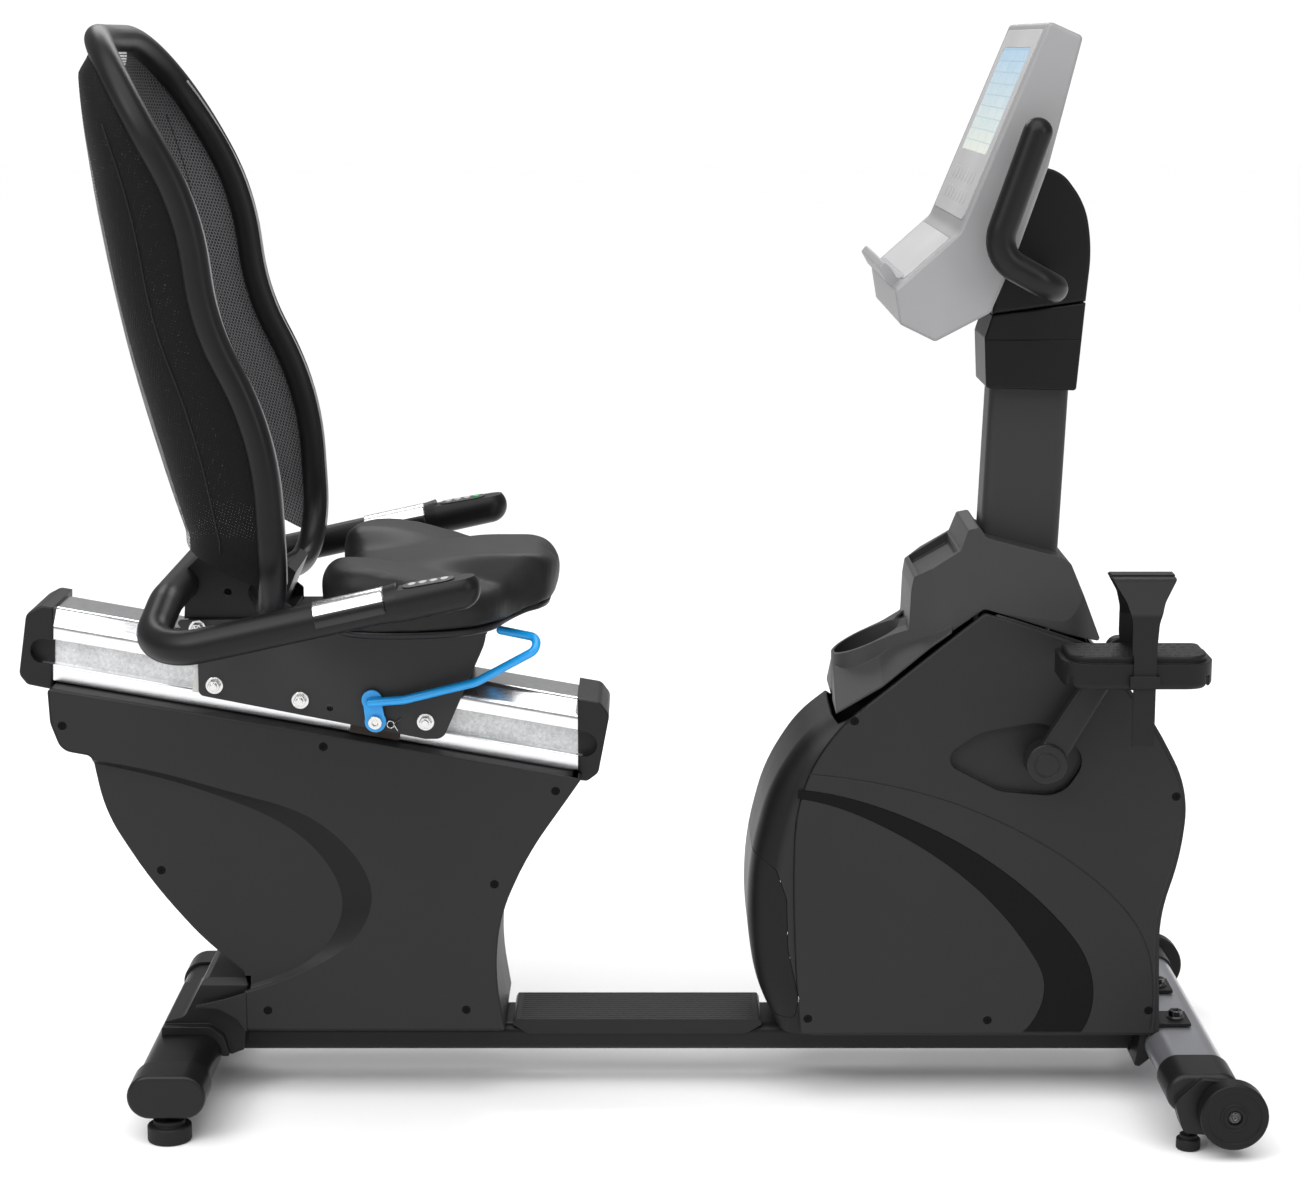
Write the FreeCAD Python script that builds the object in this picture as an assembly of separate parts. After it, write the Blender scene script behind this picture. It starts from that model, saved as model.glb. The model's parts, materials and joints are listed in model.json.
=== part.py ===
import FreeCAD, Part
import math
import os

# Recumbent exercise bike, millimetres.  +X points forward to the console, +Z is up,
# and the rider's right-hand side is at -Y.  The origin is on the floor, in the middle.

V = FreeCAD.Vector
RIGHT = -1
LEFT = 1
SIDES = (RIGHT, LEFT)

# --- driving dimensions -------------------------------------------------------------
GAP = 0.3                    # air between surfaces of parts that move past each other
SKIN = 3.0                   # wall of the moulded covers
FLOW = None                  # a corner rounded as widely as its two runs allow
FLOW_SHARE = 0.49            # the part of a run that one such corner uses

SPINE_HALF_WIDTH = 50.0
SPINE_BOTTOM = 50.0
SPINE_TOP = 86.0
SPINE_REAR = -532.0
SPINE_FRONT = 662.0
STEP_TOP = 95.0

REAR_X = -577.0              # rear cross tube
REAR_Z = 62.0
REAR_TUBE = (90.0, 48.0)     # width along X, height along Z
REAR_CAP = (98.0, 56.0)
REAR_HALF = 255.0
REAR_FOOT_Y = 232.0

FRONT_X = 706.0              # front cross tube
FRONT_Z = 73.0
FRONT_TUBE = (86.0, 46.0)
FRONT_CAP = (92.0, 52.0)
FRONT_TUBE_HALF = 222.0
WHEEL_X = 737.0
WHEEL_Z = 57.0
WHEEL_R = 42.0
WHEEL_Y = (284.0, 310.0)
FRONT_FOOT_X = 690.0
FRONT_FOOT_Y = 262.0

RAIL_TILT = 10.1             # degrees, nose down
RAIL_AT = V(-400.0, 0.0, 534.0)
RAIL_HALF = 60.0
RAIL_HEIGHT = 92.0
RAIL_REAR = -352.0
RAIL_FRONT = 346.0
CHANNEL_LOW = -24.0
CHANNEL_HIGH = 8.0
CHANNEL_FLOOR = 48.0

PLATE_IN = 76.0              # seat carriage side plates
PLATE_OUT = 80.0
WEB_TOP = 631.0

CRANK_X = 520.0
CRANK_Z = 459.0
CRANK_LENGTH = 170.0
CRANK_ANGLE = 59.4           # degrees above +X, right-hand crank
AXLE_R = 10.0
RUNNING_FIT = 0.03
PEDAL_Y = (155.0, 255.0)

DRIVE_HALF = 105.0           # drive shroud half width
REAR_SHROUD_HALF = 93.0

BELT_Y = (61.0, 73.0)
BELT_THICK = 2.0
PULLEY_R = 110.0
ROTOR_AT = (330.0, 260.0)
ROTOR_PULLEY_R = 17.0
IDLER_AT = (458.0, 294.0)
IDLER_R = 20.0

MAST_LEAN = 2.3              # degrees forward
MAST_FOOT_X = 492.5          # mast centre at MAST_FOOT_Z
MAST_FOOT_Z = 710.0
MAST = (100.0, 70.0)
MAST_WALL = 3.0
MAST_TOP = 1088.0

BACK_HALF = 236.0            # backrest tube centre
BACK_TUBE_R = 17.0
ARM_HALF = 315.0             # seat handlebar arm centre
ARM_R = 21.0


# --- helpers ------------------------------------------------------------------------
def export(shape, name):
    shape = shape.removeSplitter()
    shape.exportStep("parts/" + name + ".step")
    good = shape.isValid() and all(solid.isClosed() for solid in shape.Solids)
    print(name, "solids", len(shape.Solids), "litres", round(shape.Volume / 1e6, 3), "ok" if good else "BAD")


def group(shapes):
    return Part.makeCompound(shapes)


def fuse(shapes):
    body = shapes[0]
    for other in shapes[1:]:
        body = body.fuse(other)
    return body


def cut(body, tools):
    for tool in tools:
        body = body.cut(tool)
    return body


def box(x, y, z):
    return Part.makeBox(x[1] - x[0], y[1] - y[0], z[1] - z[0], V(x[0], y[0], z[0]))


def rod(start, end, radius):
    axis = end - start
    return Part.makeCylinder(radius, axis.Length, start, axis)


def rod_y(x, z, y_from, y_to, radius):
    return rod(V(x, y_from, z), V(x, y_to, z), radius)


def ring_y(x, z, y_from, y_to, radius, hole):
    y_from, y_to = sorted((y_from, y_to))
    return rod_y(x, z, y_from, y_to, radius).cut(rod_y(x, z, y_from - 1, y_to + 1, hole))


def mirrored(shape):
    return shape.mirror(V(0, 0, 0), V(0, 1, 0))


def pair(right_shape):
    return group([right_shape, mirrored(right_shape)])


def corner_points(points, radii, closed):
    """Edges of a path whose corners are rounded by tangent arcs."""
    count = len(points)
    if not isinstance(radii, (list, tuple)):
        radii = [radii] * count
    stops = []
    for i, point in enumerate(points):
        if not closed and i in (0, count - 1):
            stops.append((point, None, point))
            continue
        back = (points[i - 1] - point)
        ahead = (points[(i + 1) % count] - point)
        angle = back.getAngle(ahead)
        radius = radii[i]
        if radius is FLOW:
            radius = FLOW_SHARE * min(back.Length, ahead.Length) * math.tan(angle / 2)
        if radius <= 0 or angle > math.radians(179.5):
            stops.append((point, None, point))
            continue
        reach = radius / math.tan(angle / 2)
        back.normalize()
        ahead.normalize()
        middle_dir = back + ahead
        middle_dir.normalize()
        middle = point + middle_dir * (radius / math.sin(angle / 2) - radius)
        stops.append((point + back * reach, middle, point + ahead * reach))
    edges = []
    pairs = count if closed else count - 1
    for i in range(count):
        first, middle, last = stops[i]
        if middle is not None:
            edges.append(Part.Arc(first, middle, last).toShape())
        if i < pairs:
            following = stops[(i + 1) % count][0]
            if (following - last).Length > 1e-6:
                edges.append(Part.makeLine(last, following))
    return Part.Wire(Part.__sortEdges__(edges))


def outline_xz(points, radii=0.0, y=0.0):
    return corner_points([V(x, y, z) for x, z in points], radii, True)


def prism_y(points, radii, y_from, y_to):
    """Side-view outline made solid between two Y planes."""
    face = Part.Face(outline_xz(points, radii, y_from))
    return face.extrude(V(0, y_to - y_from, 0))


def prism_z(points, radii, z_from, z_to):
    wire = corner_points([V(x, y, z_from) for x, y in points], radii, True)
    return Part.Face(wire).extrude(V(0, 0, z_to - z_from))


def prism_x(points, radii, x_from, x_to):
    wire = corner_points([V(x_from, y, z) for y, z in points], radii, True)
    return Part.Face(wire).extrude(V(x_to - x_from, 0, 0))


def wire_solid(wire, vector):
    return Part.Face(wire).extrude(vector)


def inset_y(points, radii, distance, y_from, y_to):
    """The same side-view outline drawn a little smaller, or larger with a negative distance."""
    wire = outline_xz(points, radii, y_from)
    smaller = wire.makeOffset2D(-distance)
    return Part.Face(smaller).extrude(V(0, y_to - y_from, 0))


def flat_oval_y(x, z, size, y_from, y_to):
    half = size[0] / 2
    rise = size[1] / 2
    corners = [(x - half, z - rise), (x + half, z - rise), (x + half, z + rise), (x - half, z + rise)]
    return prism_y(corners, rise - 0.01, y_from, y_to)


def sweep(points, radii, radius):
    """Round bar along straight runs joined by tangent arcs."""
    path = corner_points(points, radii, False)
    start = points[0]
    circle = Part.Wire(Part.makeCircle(radius, start, points[1] - start))
    return path.makePipeShell([circle], True, False)


def ball(point, radius):
    return Part.makeSphere(radius, point)


def spline_xz(points, y):
    curve = Part.BSplineCurve()
    curve.interpolate([V(x, y, z) for x, z in points])
    return curve.toShape()


def between_curves(first, second, y_from, y_to):
    """Solid between two side-view curves whose ends are joined by lines."""
    top = spline_xz(first, y_from)
    low = spline_xz(second, y_from)
    ends = [V(first[0][0], y_from, first[0][1]), V(second[0][0], y_from, second[0][1])]
    tips = [V(first[-1][0], y_from, first[-1][1]), V(second[-1][0], y_from, second[-1][1])]
    edges = [top, low, Part.makeLine(*ends), Part.makeLine(*tips)]
    wire = Part.Wire(Part.__sortEdges__(edges))
    return wire_solid(wire, V(0, y_to - y_from, 0))


def ribbon(points, width, y_from, y_to):
    """Narrow band that follows a side-view curve, for an engraved line."""
    shifted = []
    for i, (x, z) in enumerate(points):
        before = points[max(i - 1, 0)]
        after = points[min(i + 1, len(points) - 1)]
        dx = after[0] - before[0]
        dz = after[1] - before[1]
        length = math.hypot(dx, dz)
        shifted.append((x - dz / length * width, z + dx / length * width))
    return between_curves(points, shifted, y_from, y_to)


def hexagon(radius, height):
    points = [V(radius * math.cos(math.radians(60 * i)), radius * math.sin(math.radians(60 * i)), 0)
              for i in range(7)]
    return Part.Face(Part.makePolygon(points)).extrude(V(0, 0, height))


def soften(body, edges, radius):
    """Round the chosen edges, and keep the body as it was if that is not possible."""
    try:
        rounded = body.makeFillet(radius, edges)
    except Exception:
        print("  edges left sharp", radius)
        return body
    if rounded.isValid() and rounded.Solids:
        return rounded
    print("  edges left sharp", radius)
    return body


def edges_in_plane_y(body, y):
    return [e for e in body.Edges if abs(e.BoundBox.YMin - y) < 1e-4 and abs(e.BoundBox.YMax - y) < 1e-4]


def edges_in_plane_z(body, z):
    return [e for e in body.Edges if abs(e.BoundBox.ZMin - z) < 1e-4 and abs(e.BoundBox.ZMax - z) < 1e-4]


def on_rail(shape):
    """Place a shape drawn in the rail's own frame: x along it, z square to it."""
    shape = shape.copy()
    shape.rotate(V(0, 0, 0), V(0, 1, 0), RAIL_TILT)
    shape.translate(RAIL_AT)
    return shape


def rail_point(x, z):
    """Floor-frame point given in the rail's own frame."""
    tilt = math.radians(RAIL_TILT)
    return (RAIL_AT.x + x * math.cos(tilt) + z * math.sin(tilt),
            RAIL_AT.z - x * math.sin(tilt) + z * math.cos(tilt))


def mast_x(z):
    return MAST_FOOT_X + (z - MAST_FOOT_Z) * math.tan(math.radians(MAST_LEAN))


def leaning_block(size, radius, z_from, z_to):
    """Upright rounded-rectangle bar that follows the mast's lean."""
    wires = []
    for z in (z_from, z_to):
        x = mast_x(z)
        half = size[0] / 2
        side = size[1] / 2
        corners = [V(x - half, -side, z), V(x + half, -side, z), V(x + half, side, z), V(x - half, side, z)]
        wires.append(corner_points(corners, radius, True))
    return Part.makeLoft(wires, True, True)


# --- base frame ---------------------------------------------------------------------
def rear_tube_cover(extra):
    """Outer form of the rear cross tube, grown by some clearance."""
    size = (REAR_TUBE[0] + 2 * extra, REAR_TUBE[1] + 2 * extra)
    return flat_oval_y(REAR_X, REAR_Z, size, -REAR_HALF - 5, REAR_HALF + 5)


def base_spine():
    wide = [(-SPINE_HALF_WIDTH, SPINE_BOTTOM), (SPINE_HALF_WIDTH, SPINE_BOTTOM),
            (SPINE_HALF_WIDTH, SPINE_TOP), (-SPINE_HALF_WIDTH, SPINE_TOP)]
    outer = prism_x(wide, 12, SPINE_REAR, SPINE_FRONT)
    wall = 3.0
    room = SPINE_HALF_WIDTH - wall
    inner = prism_x([(-room, SPINE_BOTTOM + wall), (room, SPINE_BOTTOM + wall), (room, SPINE_TOP - wall),
                     (-room, SPINE_TOP - wall)], 9, SPINE_REAR + 6, SPINE_FRONT - 6)
    rear_weld = rear_tube_cover(0.0)
    return outer.cut(inner).cut(rear_weld)


def crank_frame():
    post = leaning_block((MAST[0] - 2 * MAST_WALL - 0.6, MAST[1] - 2 * MAST_WALL - 0.6), 10, SPINE_TOP, 700)
    hollow = leaning_block((MAST[0] - 2 * MAST_WALL - 6.6, MAST[1] - 2 * MAST_WALL - 6.6), 7, SPINE_TOP + 4, 701)
    gusset = prism_y([(350, SPINE_TOP), (560, SPINE_TOP), (500, 180), (440, 180)], 0, -30, 30)
    gusset_hollow = prism_y([(340, SPINE_TOP - 1), (570, SPINE_TOP - 1), (505, 190), (430, 190)], 0, -26, 26)
    gusset = gusset.cut(gusset_hollow)
    shell = rod_y(CRANK_X, CRANK_Z, -42, 42, 26)
    bracket_outline = [(305, 235), (430, 200), (478, 180), (490, 330), (452, 340), (355, 285), (305, 285)]
    bracket = prism_y(bracket_outline, [20, 8, 4, 4, 8, 8, 20], -52, -46)
    bracket_web = box((446, 482), (-50, -26), (200, 320))
    idler_stub = rod_y(IDLER_AT[0], IDLER_AT[1], 25, 78, 6)
    idler_collar = rod_y(IDLER_AT[0], IDLER_AT[1], 25, 58, 10)
    body = post.cut(hollow)
    body = fuse([body, gusset.cut(hollow), shell, bracket_web.cut(hollow), idler_stub.cut(hollow),
                 idler_collar.cut(hollow), bracket])
    bore = rod_y(CRANK_X, CRANK_Z, -60, 60, 21)
    step = ring_y(CRANK_X, CRANK_Z, -29, 29, 22, 14)
    generator_hole = rod_y(ROTOR_AT[0], ROTOR_AT[1], -60, -40, 12)
    return cut(body, [bore, generator_hole]).fuse(step)


def seat_frame():
    """Two welded struts that carry the rail, tied by a shelf under it."""
    rear_foot = V(-420, 0, SPINE_TOP)
    front_foot = V(-250, 0, SPINE_TOP)
    struts = []
    for foot, reach, width in ((rear_foot, -205.0, 60.0), (front_foot, 150.0, 60.0)):
        head = rail_point(reach, -RAIL_HEIGHT / 2 - 6)
        outline = [(foot.x - width / 2, foot.z), (foot.x + width / 2, foot.z),
                   (head[0] + width / 2, head[1] - 8), (head[0] - width / 2, head[1] + 8)]
        tube = prism_y(outline, 0, -30, 30)
        hollow = prism_y([(foot.x - width / 2 + 3, foot.z - 1), (foot.x + width / 2 - 3, foot.z - 1),
                          (head[0] + width / 2 - 3, head[1]), (head[0] - width / 2 + 3, head[1] + 14)], 0, -27, 27)
        struts.append(tube.cut(hollow))
    under = -RAIL_HEIGHT / 2
    shelf = on_rail(box((-290, 210), (-50, 50), (under - 8, under)))
    above = on_rail(box((-400, 400), (-100, 100), (under, 200)))
    return fuse([shelf] + [strut.cut(above) for strut in struts])


def rear_stabiliser():
    outer = flat_oval_y(REAR_X, REAR_Z, REAR_TUBE, -REAR_HALF + 30, REAR_HALF - 30)
    inner = flat_oval_y(REAR_X, REAR_Z, (REAR_TUBE[0] - 6, REAR_TUBE[1] - 6), -REAR_HALF, REAR_HALF)
    return outer.cut(inner)


def rear_end_caps():
    block = flat_oval_y(REAR_X, REAR_Z, REAR_CAP, -REAR_HALF, -REAR_HALF + 55)
    block = soften(block, edges_in_plane_y(block, -REAR_HALF), 5)
    socket = flat_oval_y(REAR_X, REAR_Z, REAR_TUBE, -REAR_HALF + 30, -REAR_HALF + 60)
    foot_bore = rod(V(REAR_X, -REAR_FOOT_Y, REAR_Z - REAR_CAP[1]), V(REAR_X, -REAR_FOOT_Y, REAR_Z + 8), 5.05)
    block = cut(block, [socket, foot_bore])
    return pair(block)


def levelling_foot(x, y, height, radius, stem_top):
    """Round rubber-faced pad on a threaded stem."""
    pad = rod(V(x, y, 0), V(x, y, height * 0.62), radius)
    pad = soften(pad, edges_in_plane_z(pad, 0) + edges_in_plane_z(pad, height * 0.62), 2.5)
    neck = rod(V(x, y, height * 0.6), V(x, y, height * 0.82), radius * 0.72)
    stem = rod(V(x, y, height * 0.7), V(x, y, stem_top), 5.0)
    return fuse([pad, neck, stem])


def rear_bracket_cover():
    """Moulded step that hides the joint between the spine and the rear cross tube."""
    outline = [(-606, 84), (-606, 100), (-580, 107), (-557, 152), (-548, 158), (-500, 158), (-497, 150),
               (-504, 62), (-520, 56)]
    outer = prism_y(outline, [3, 3, 10, 3, 3, 3, 3, 3, 3], -78, 78)
    bevels = prism_x([(-78, 0), (78, 0), (78, 149), (69, 159), (-69, 159), (-78, 149)], 0, -700, -400)
    outer = outer.common(bevels)
    lip = prism_y([(-608, 75), (-608, 97), (-545, 97), (-528, 84), (-521, 58), (-531, 58), (-541, 78), (-560, 84),
                   (-560, 75)], [2, 3, 16, 12, 2, 2, 10, 6, 0], -92, 92)
    body = outer.fuse(lip)
    hollow = prism_y([(-620, 40), (-600, 96), (-577, 101), (-552, 148), (-546, 153), (-504, 153), (-508, 100),
                      (-512, 40)], 0, -65, 65)
    spine_room = box((-620, -400), (-SPINE_HALF_WIDTH - 0.2, SPINE_HALF_WIDTH + 0.2), (0, SPINE_TOP + 0.2))
    return cut(body, [hollow, rear_tube_cover(0.2), spine_room])


def front_stabiliser():
    outer = flat_oval_y(FRONT_X, FRONT_Z, FRONT_TUBE, -FRONT_TUBE_HALF, FRONT_TUBE_HALF)
    inner = flat_oval_y(FRONT_X, FRONT_Z, (FRONT_TUBE[0] - 6, FRONT_TUBE[1] - 6), -REAR_HALF, REAR_HALF)
    holes = [rod(V(706, y, FRONT_Z), V(706, y, 110), 5.05) for y in (-66, 66)]
    return cut(outer, [inner] + holes)


def front_end_caps():
    """Cap with a cheek that carries the transport wheel on its outer face."""
    sleeve = flat_oval_y(FRONT_X, FRONT_Z, FRONT_CAP, -FRONT_TUBE_HALF - 50, -FRONT_TUBE_HALF + 22)
    sleeve = soften(sleeve, edges_in_plane_y(sleeve, -FRONT_TUBE_HALF - 50), 8)
    socket = flat_oval_y(FRONT_X, FRONT_Z, FRONT_TUBE, -FRONT_TUBE_HALF, -FRONT_TUBE_HALF + 30)
    cheek = prism_y([(668, 66), (700, 96), (742, 92), (762, 66), (752, 40), (712, 24), (680, 27)],
                    [14, 14, 18, 20, 16, 10, 10], -WHEEL_Y[0] + 3, -FRONT_TUBE_HALF - 26)
    horn = rod_y(WHEEL_X, WHEEL_Z, -WHEEL_Y[0] + 1, -WHEEL_Y[0] + 6, 13)
    foot_room = rod(V(FRONT_FOOT_X, -FRONT_FOOT_Y, 0), V(FRONT_FOOT_X, -FRONT_FOOT_Y, 64), 5.05)
    axle_room = rod_y(WHEEL_X, WHEEL_Z, -WHEEL_Y[1], -WHEEL_Y[0] + 24, 5.0)
    return pair(cut(fuse([sleeve, cheek, horn]), [socket, foot_room, axle_room]))


def front_bracket():
    """Folded plate that clamps the spine's nose onto the front cross tube."""
    back_plate = prism_y([(650, 46), (656, 44), (671, 56), (665, 74), (674, 93), (690, 98), (722, 98), (722, 102),
                          (684, 102), (668, 98), (657, 88)], [2, 2, 6, 14, 8, 4, 0, 0, 6, 6, 4], -92, 92)
    room = flat_oval_y(FRONT_X, FRONT_Z, (FRONT_TUBE[0] + 0.2, FRONT_TUBE[1] + 0.2), -200, 200)
    middle = box((683, 740), (-42, 42), (95, 110))
    spine_room = box((600, SPINE_FRONT + 0.05), (-SPINE_HALF_WIDTH - 0.1, SPINE_HALF_WIDTH + 0.1),
                     (SPINE_BOTTOM - 1, SPINE_TOP + 0.1))
    plate = cut(back_plate, [room, middle, spine_room])
    for y in (-66, 66):
        plate = plate.cut(rod(V(706, y, 80), V(706, y, 110), 5.05))
    return plate


def hex_bolt(at, axis, shank_r, shank, head_r, head):
    """Hexagon head with a flange and shank, head pointing along the axis."""
    flange = Part.makeCylinder(head_r * 1.25, 1.6)
    cap = hexagon(head_r, head).translated(V(0, 0, 1.6))
    socket = Part.makeCylinder(head_r * 0.45, head, V(0, 0, head * 0.6))
    stem = Part.makeCylinder(shank_r, shank, V(0, 0, -shank))
    bolt = fuse([flange, cap, stem]).cut(socket)
    turn = FreeCAD.Rotation(V(0, 0, 1), axis)
    bolt.Placement = FreeCAD.Placement(at, turn)
    return bolt


def frame_bolts():
    up = V(0, 0, 1)
    bolts = [hex_bolt(V(706, y, 102), up, 5.0, 14, 9, 8) for y in (-66, 66)]
    for side in SIDES:
        out = V(0, side, 0)
        outer_face = side * (WHEEL_Y[1] - 3.5)
        bolts.append(hex_bolt(V(WHEEL_X, outer_face, WHEEL_Z), out, 4.97, 44, 5.6, 2.4))
    return group(bolts)


def transport_wheel(side):
    y_in = side * (WHEEL_Y[0] + GAP)
    y_out = side * WHEEL_Y[1]
    low, high = min(y_in, y_out), max(y_in, y_out)
    tyre = rod_y(WHEEL_X, WHEEL_Z, low, high, WHEEL_R)
    rims = edges_in_plane_y(tyre, low) + edges_in_plane_y(tyre, high)
    tyre = soften(tyre, rims, 3)
    bore = rod_y(WHEEL_X, WHEEL_Z, low - 1, high + 1, 5.0)
    dish = ring_y(WHEEL_X, WHEEL_Z, y_out - side * 1.2, y_out + side, 33, 17.5)
    hub = rod_y(WHEEL_X, WHEEL_Z, y_out - side * 4, y_out + side, 9.5)
    groove = ring_y(WHEEL_X, WHEEL_Z, y_out - side * 0.8, y_out + side, 15.5, 13.5)
    return cut(tyre, [bore, dish, hub, groove])


def step_plate():
    """Ribbed foot plate over the spine between the two housings."""
    half = SPINE_HALF_WIDTH + 4
    base = prism_y([(-157, 88), (-153, STEP_TOP), (166, STEP_TOP), (170, 88), (148, 75), (-136, 75)],
                   [3, 2, 2, 3, 8, 8], -half, half)
    room = box((-200, 200), (-SPINE_HALF_WIDTH - 0.2, SPINE_HALF_WIDTH + 0.2), (40, SPINE_TOP + 0.2))
    inside = box((-148, 161), (-half + 3, half - 3), (SPINE_TOP, STEP_TOP - 3))
    grooves = [box((-146, 159), (y - 1.0, y + 1.0), (STEP_TOP - 1.2, STEP_TOP + 2)) for y in range(-48, 49, 8)]
    ribs = [box((-148, 161), (y - 1.5, y + 1.5), (SPINE_TOP + 0.3, STEP_TOP - 2)) for y in (-40, 0, 40)]
    return cut(fuse([base.cut(inside)] + ribs), grooves + [room])


# --- housings -----------------------------------------------------------------------
REAR_OUTLINE = [(-739, 546), (-737, 500), (-724, 464), (-686, 457), (-672, 382), (-616, 290), (-552, 214),
                (-478, 151), (-520, 136), (-572, 124), (-534, 122), (-510, 108), (-500, 92), (-164, 92),
                (-176, 165), (-170, 245), (-133, 328), (-84, 398), (-62, 430)]
REAR_RADII = [6, 30, 22, 10, FLOW, FLOW, FLOW, 4, FLOW, 1.5, 10, 10, 4, 4, FLOW, FLOW, FLOW, FLOW, 4]
REAR_CORE = REAR_OUTLINE[:7] + [(-500, 170), (-500, 92)] + REAR_OUTLINE[13:]   # without the pointed toe
REAR_CORE_RADII = REAR_RADII[:7] + [6, 4] + REAR_RADII[13:]
LOBE_OUTER = [(-760, 468), (-682, 453), (-600, 437), (-500, 409), (-420, 384), (-362, 340), (-331, 275),
              (-350, 222), (-410, 178), (-460, 156), (-510, 140), (-572, 125), (-620, 114)]
LOBE_INNER = [(-760, 462), (-682, 446), (-600, 427), (-505, 395), (-436, 360), (-392, 316), (-372, 262),
              (-388, 214), (-430, 176), (-470, 159), (-512, 146), (-572, 130), (-620, 118)]
LOBE_DEPTH = 9.0
REAR_EDGE = 3.8              # rounding along the side of the rear housing


def lobe_pocket(grow, depth):
    """Sunk rear lobe of the shroud side with a sloping crescent round it."""
    wires = []
    for points, y in ((LOBE_OUTER, -REAR_SHROUD_HALF - 0.5), (LOBE_INNER, -REAR_SHROUD_HALF + depth)):
        curve = spline_xz([(x + grow * 0.9, z + grow * 0.4) for x, z in points], y)
        first = curve.valueAt(curve.FirstParameter)
        last = curve.valueAt(curve.LastParameter)
        corner = V(-790, y, last.z)
        corner_top = V(-790, y, first.z)
        edges = [curve, Part.makeLine(last, corner), Part.makeLine(corner, corner_top),
                 Part.makeLine(corner_top, first)]
        wires.append(Part.Wire(Part.__sortEdges__(edges)))
    return Part.makeLoft(wires, True, True)


REAR_SCREWS = [(-721, 497), (-603, 305), (-391, 470), (-97, 412), (-176, 289), (-214, 121), (-470, 120)]


def rear_shroud_right():
    half = REAR_SHROUD_HALF
    body = prism_y(REAR_CORE, REAR_CORE_RADII, -half, -0.1)
    body = soften(body, edges_in_plane_y(body, -half), REAR_EDGE)
    toe = prism_y(REAR_OUTLINE, REAR_RADII, -half, -0.1)
    toe = toe.common(box((REAR_X - 20, -498), (-half, -0.1), (80, 172)))
    body = body.fuse(toe).cut(lobe_pocket(0.0, LOBE_DEPTH))
    hollow = inset_y(REAR_CORE, REAR_CORE_RADII, SKIN, -half + SKIN, 1)
    keep = lobe_pocket(SKIN, LOBE_DEPTH + SKIN)
    body = body.cut(hollow.cut(keep))
    under = -RAIL_HEIGHT / 2
    above_rail = on_rail(box((-420, 420), (-120, 120), (under - 0.2, 60)))
    shelf_room = on_rail(box((-300, 220), (-51, 51), (under - 14, under + 1)))
    spine_room = box((-700, 0), (-SPINE_HALF_WIDTH - 0.4, SPINE_HALF_WIDTH + 0.4), (40, SPINE_TOP + 0.4))
    shelf_slot = box((-490, -215), (-31, 31), (80, 100))
    bracket_room = prism_y([(-700, 20), (-700, 164), (-492, 164), (-492, 20)], 0, -half + SKIN + 0.5, 1)
    body = cut(body, [above_rail, shelf_room, spine_room, shelf_slot, bracket_room])
    for x, z in REAR_SCREWS:
        depth = half - screw_depth_rear(x, z)
        body = body.cut(rod_y(x, z, -half - 1, -depth + 1.4, 5.6))
        body = body.cut(rod_y(x, z, -half - 1, -depth + 8, 2.1))
    return biggest(body)


def screw_depth_rear(x, z):
    """How far below the outer face the screw seats, more in the sunk lobe."""
    return LOBE_DEPTH if (x, z) == REAR_SCREWS[1] else 0.0


def biggest(body):
    return max(body.Solids, key=lambda solid: solid.Volume)


DRIVE_OUTLINE = [(190, 90), (160, 152), (147, 232), (150, 318), (174, 412), (216, 478), (262, 514), (312, 545),
                 (375, 598), (443, 646), (480, 636), (576, 604), (652, 520), (707, 415), (698, 325), (674, 250),
                 (679, 90)]
DRIVE_RADII = [0, FLOW, FLOW, FLOW, FLOW, FLOW, 0, 40, FLOW, 10, 10, 20, FLOW, FLOW, FLOW, FLOW, 8]
PANEL_OUTLINE = [(216, 92), (209, 180), (205, 290), (207, 385), (229, 452), (272, 506), (322, 546), (380, 594),
                 (443, 644), (480, 633), (574, 600), (648, 518), (702, 415), (693, 327), (669, 252), (673, 92)]
PANEL_RADII = [6, FLOW, FLOW, FLOW, FLOW, FLOW, FLOW, FLOW, 8, 8, 20, FLOW, FLOW, FLOW, FLOW, 4]
REAR_ROUND = 40.0            # rounding of the drive housing's rear corner
PANEL_LIFT = 3.0
DRIVE_SCREWS = [(281, 506), (690, 408), (664, 124), (226, 113), (457, 111)]
CRANK_POCKET = [(388, 455), (440, 492), (521, 506), (578, 459), (545, 408), (466, 414)]
CRANK_POCKET_RADII = [16, 60, 44, 28, 40, 60]
POCKET_DEPTH = 10.0
ENGRAVED = [(213, 437), (302, 426), (403, 400), (506, 354), (597, 291), (657, 212), (668, 138), (666, 96)]
INLAY_OUTER = [(210, 417), (266, 408), (330, 388), (404, 354), (482, 303), (547, 243), (585, 186), (592, 138),
               (577, 94)]
INLAY_INNER = [(210, 405), (256, 395), (316, 370), (379, 334), (452, 275), (508, 207), (529, 160), (521, 120),
               (502, 94)]
ACCESS_OUTLINE = [(120, 336), (150, 333), (184, 311), (198, 272), (200, 205), (215, 138), (209, 112), (120, 112)]
ACCESS_RADII = [0, 6, 10, 30, 40, 12, 8, 0]
SEAM = [(200, 560), (262, 498), (316, 528), (376, 582), (443, 632), (478, 623), (588, 586), (620, 640), (560, 800),
        (300, 800), (200, 640)]


def drive_form(inset, side_y, rounding):
    """Right half of the drive housing's form, with its rear corner rounded, at some depth inside the skin."""
    if inset > 0:
        form = inset_y(DRIVE_OUTLINE, DRIVE_RADII, inset, side_y, 1)
    else:
        form = prism_y(DRIVE_OUTLINE, DRIVE_RADII, side_y, -0.1)
    rear_edges = [e for e in edges_in_plane_y(form, side_y) if e.BoundBox.XMax < 264 and e.BoundBox.ZMax < 516]
    return soften(form, rear_edges, rounding)


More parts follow.
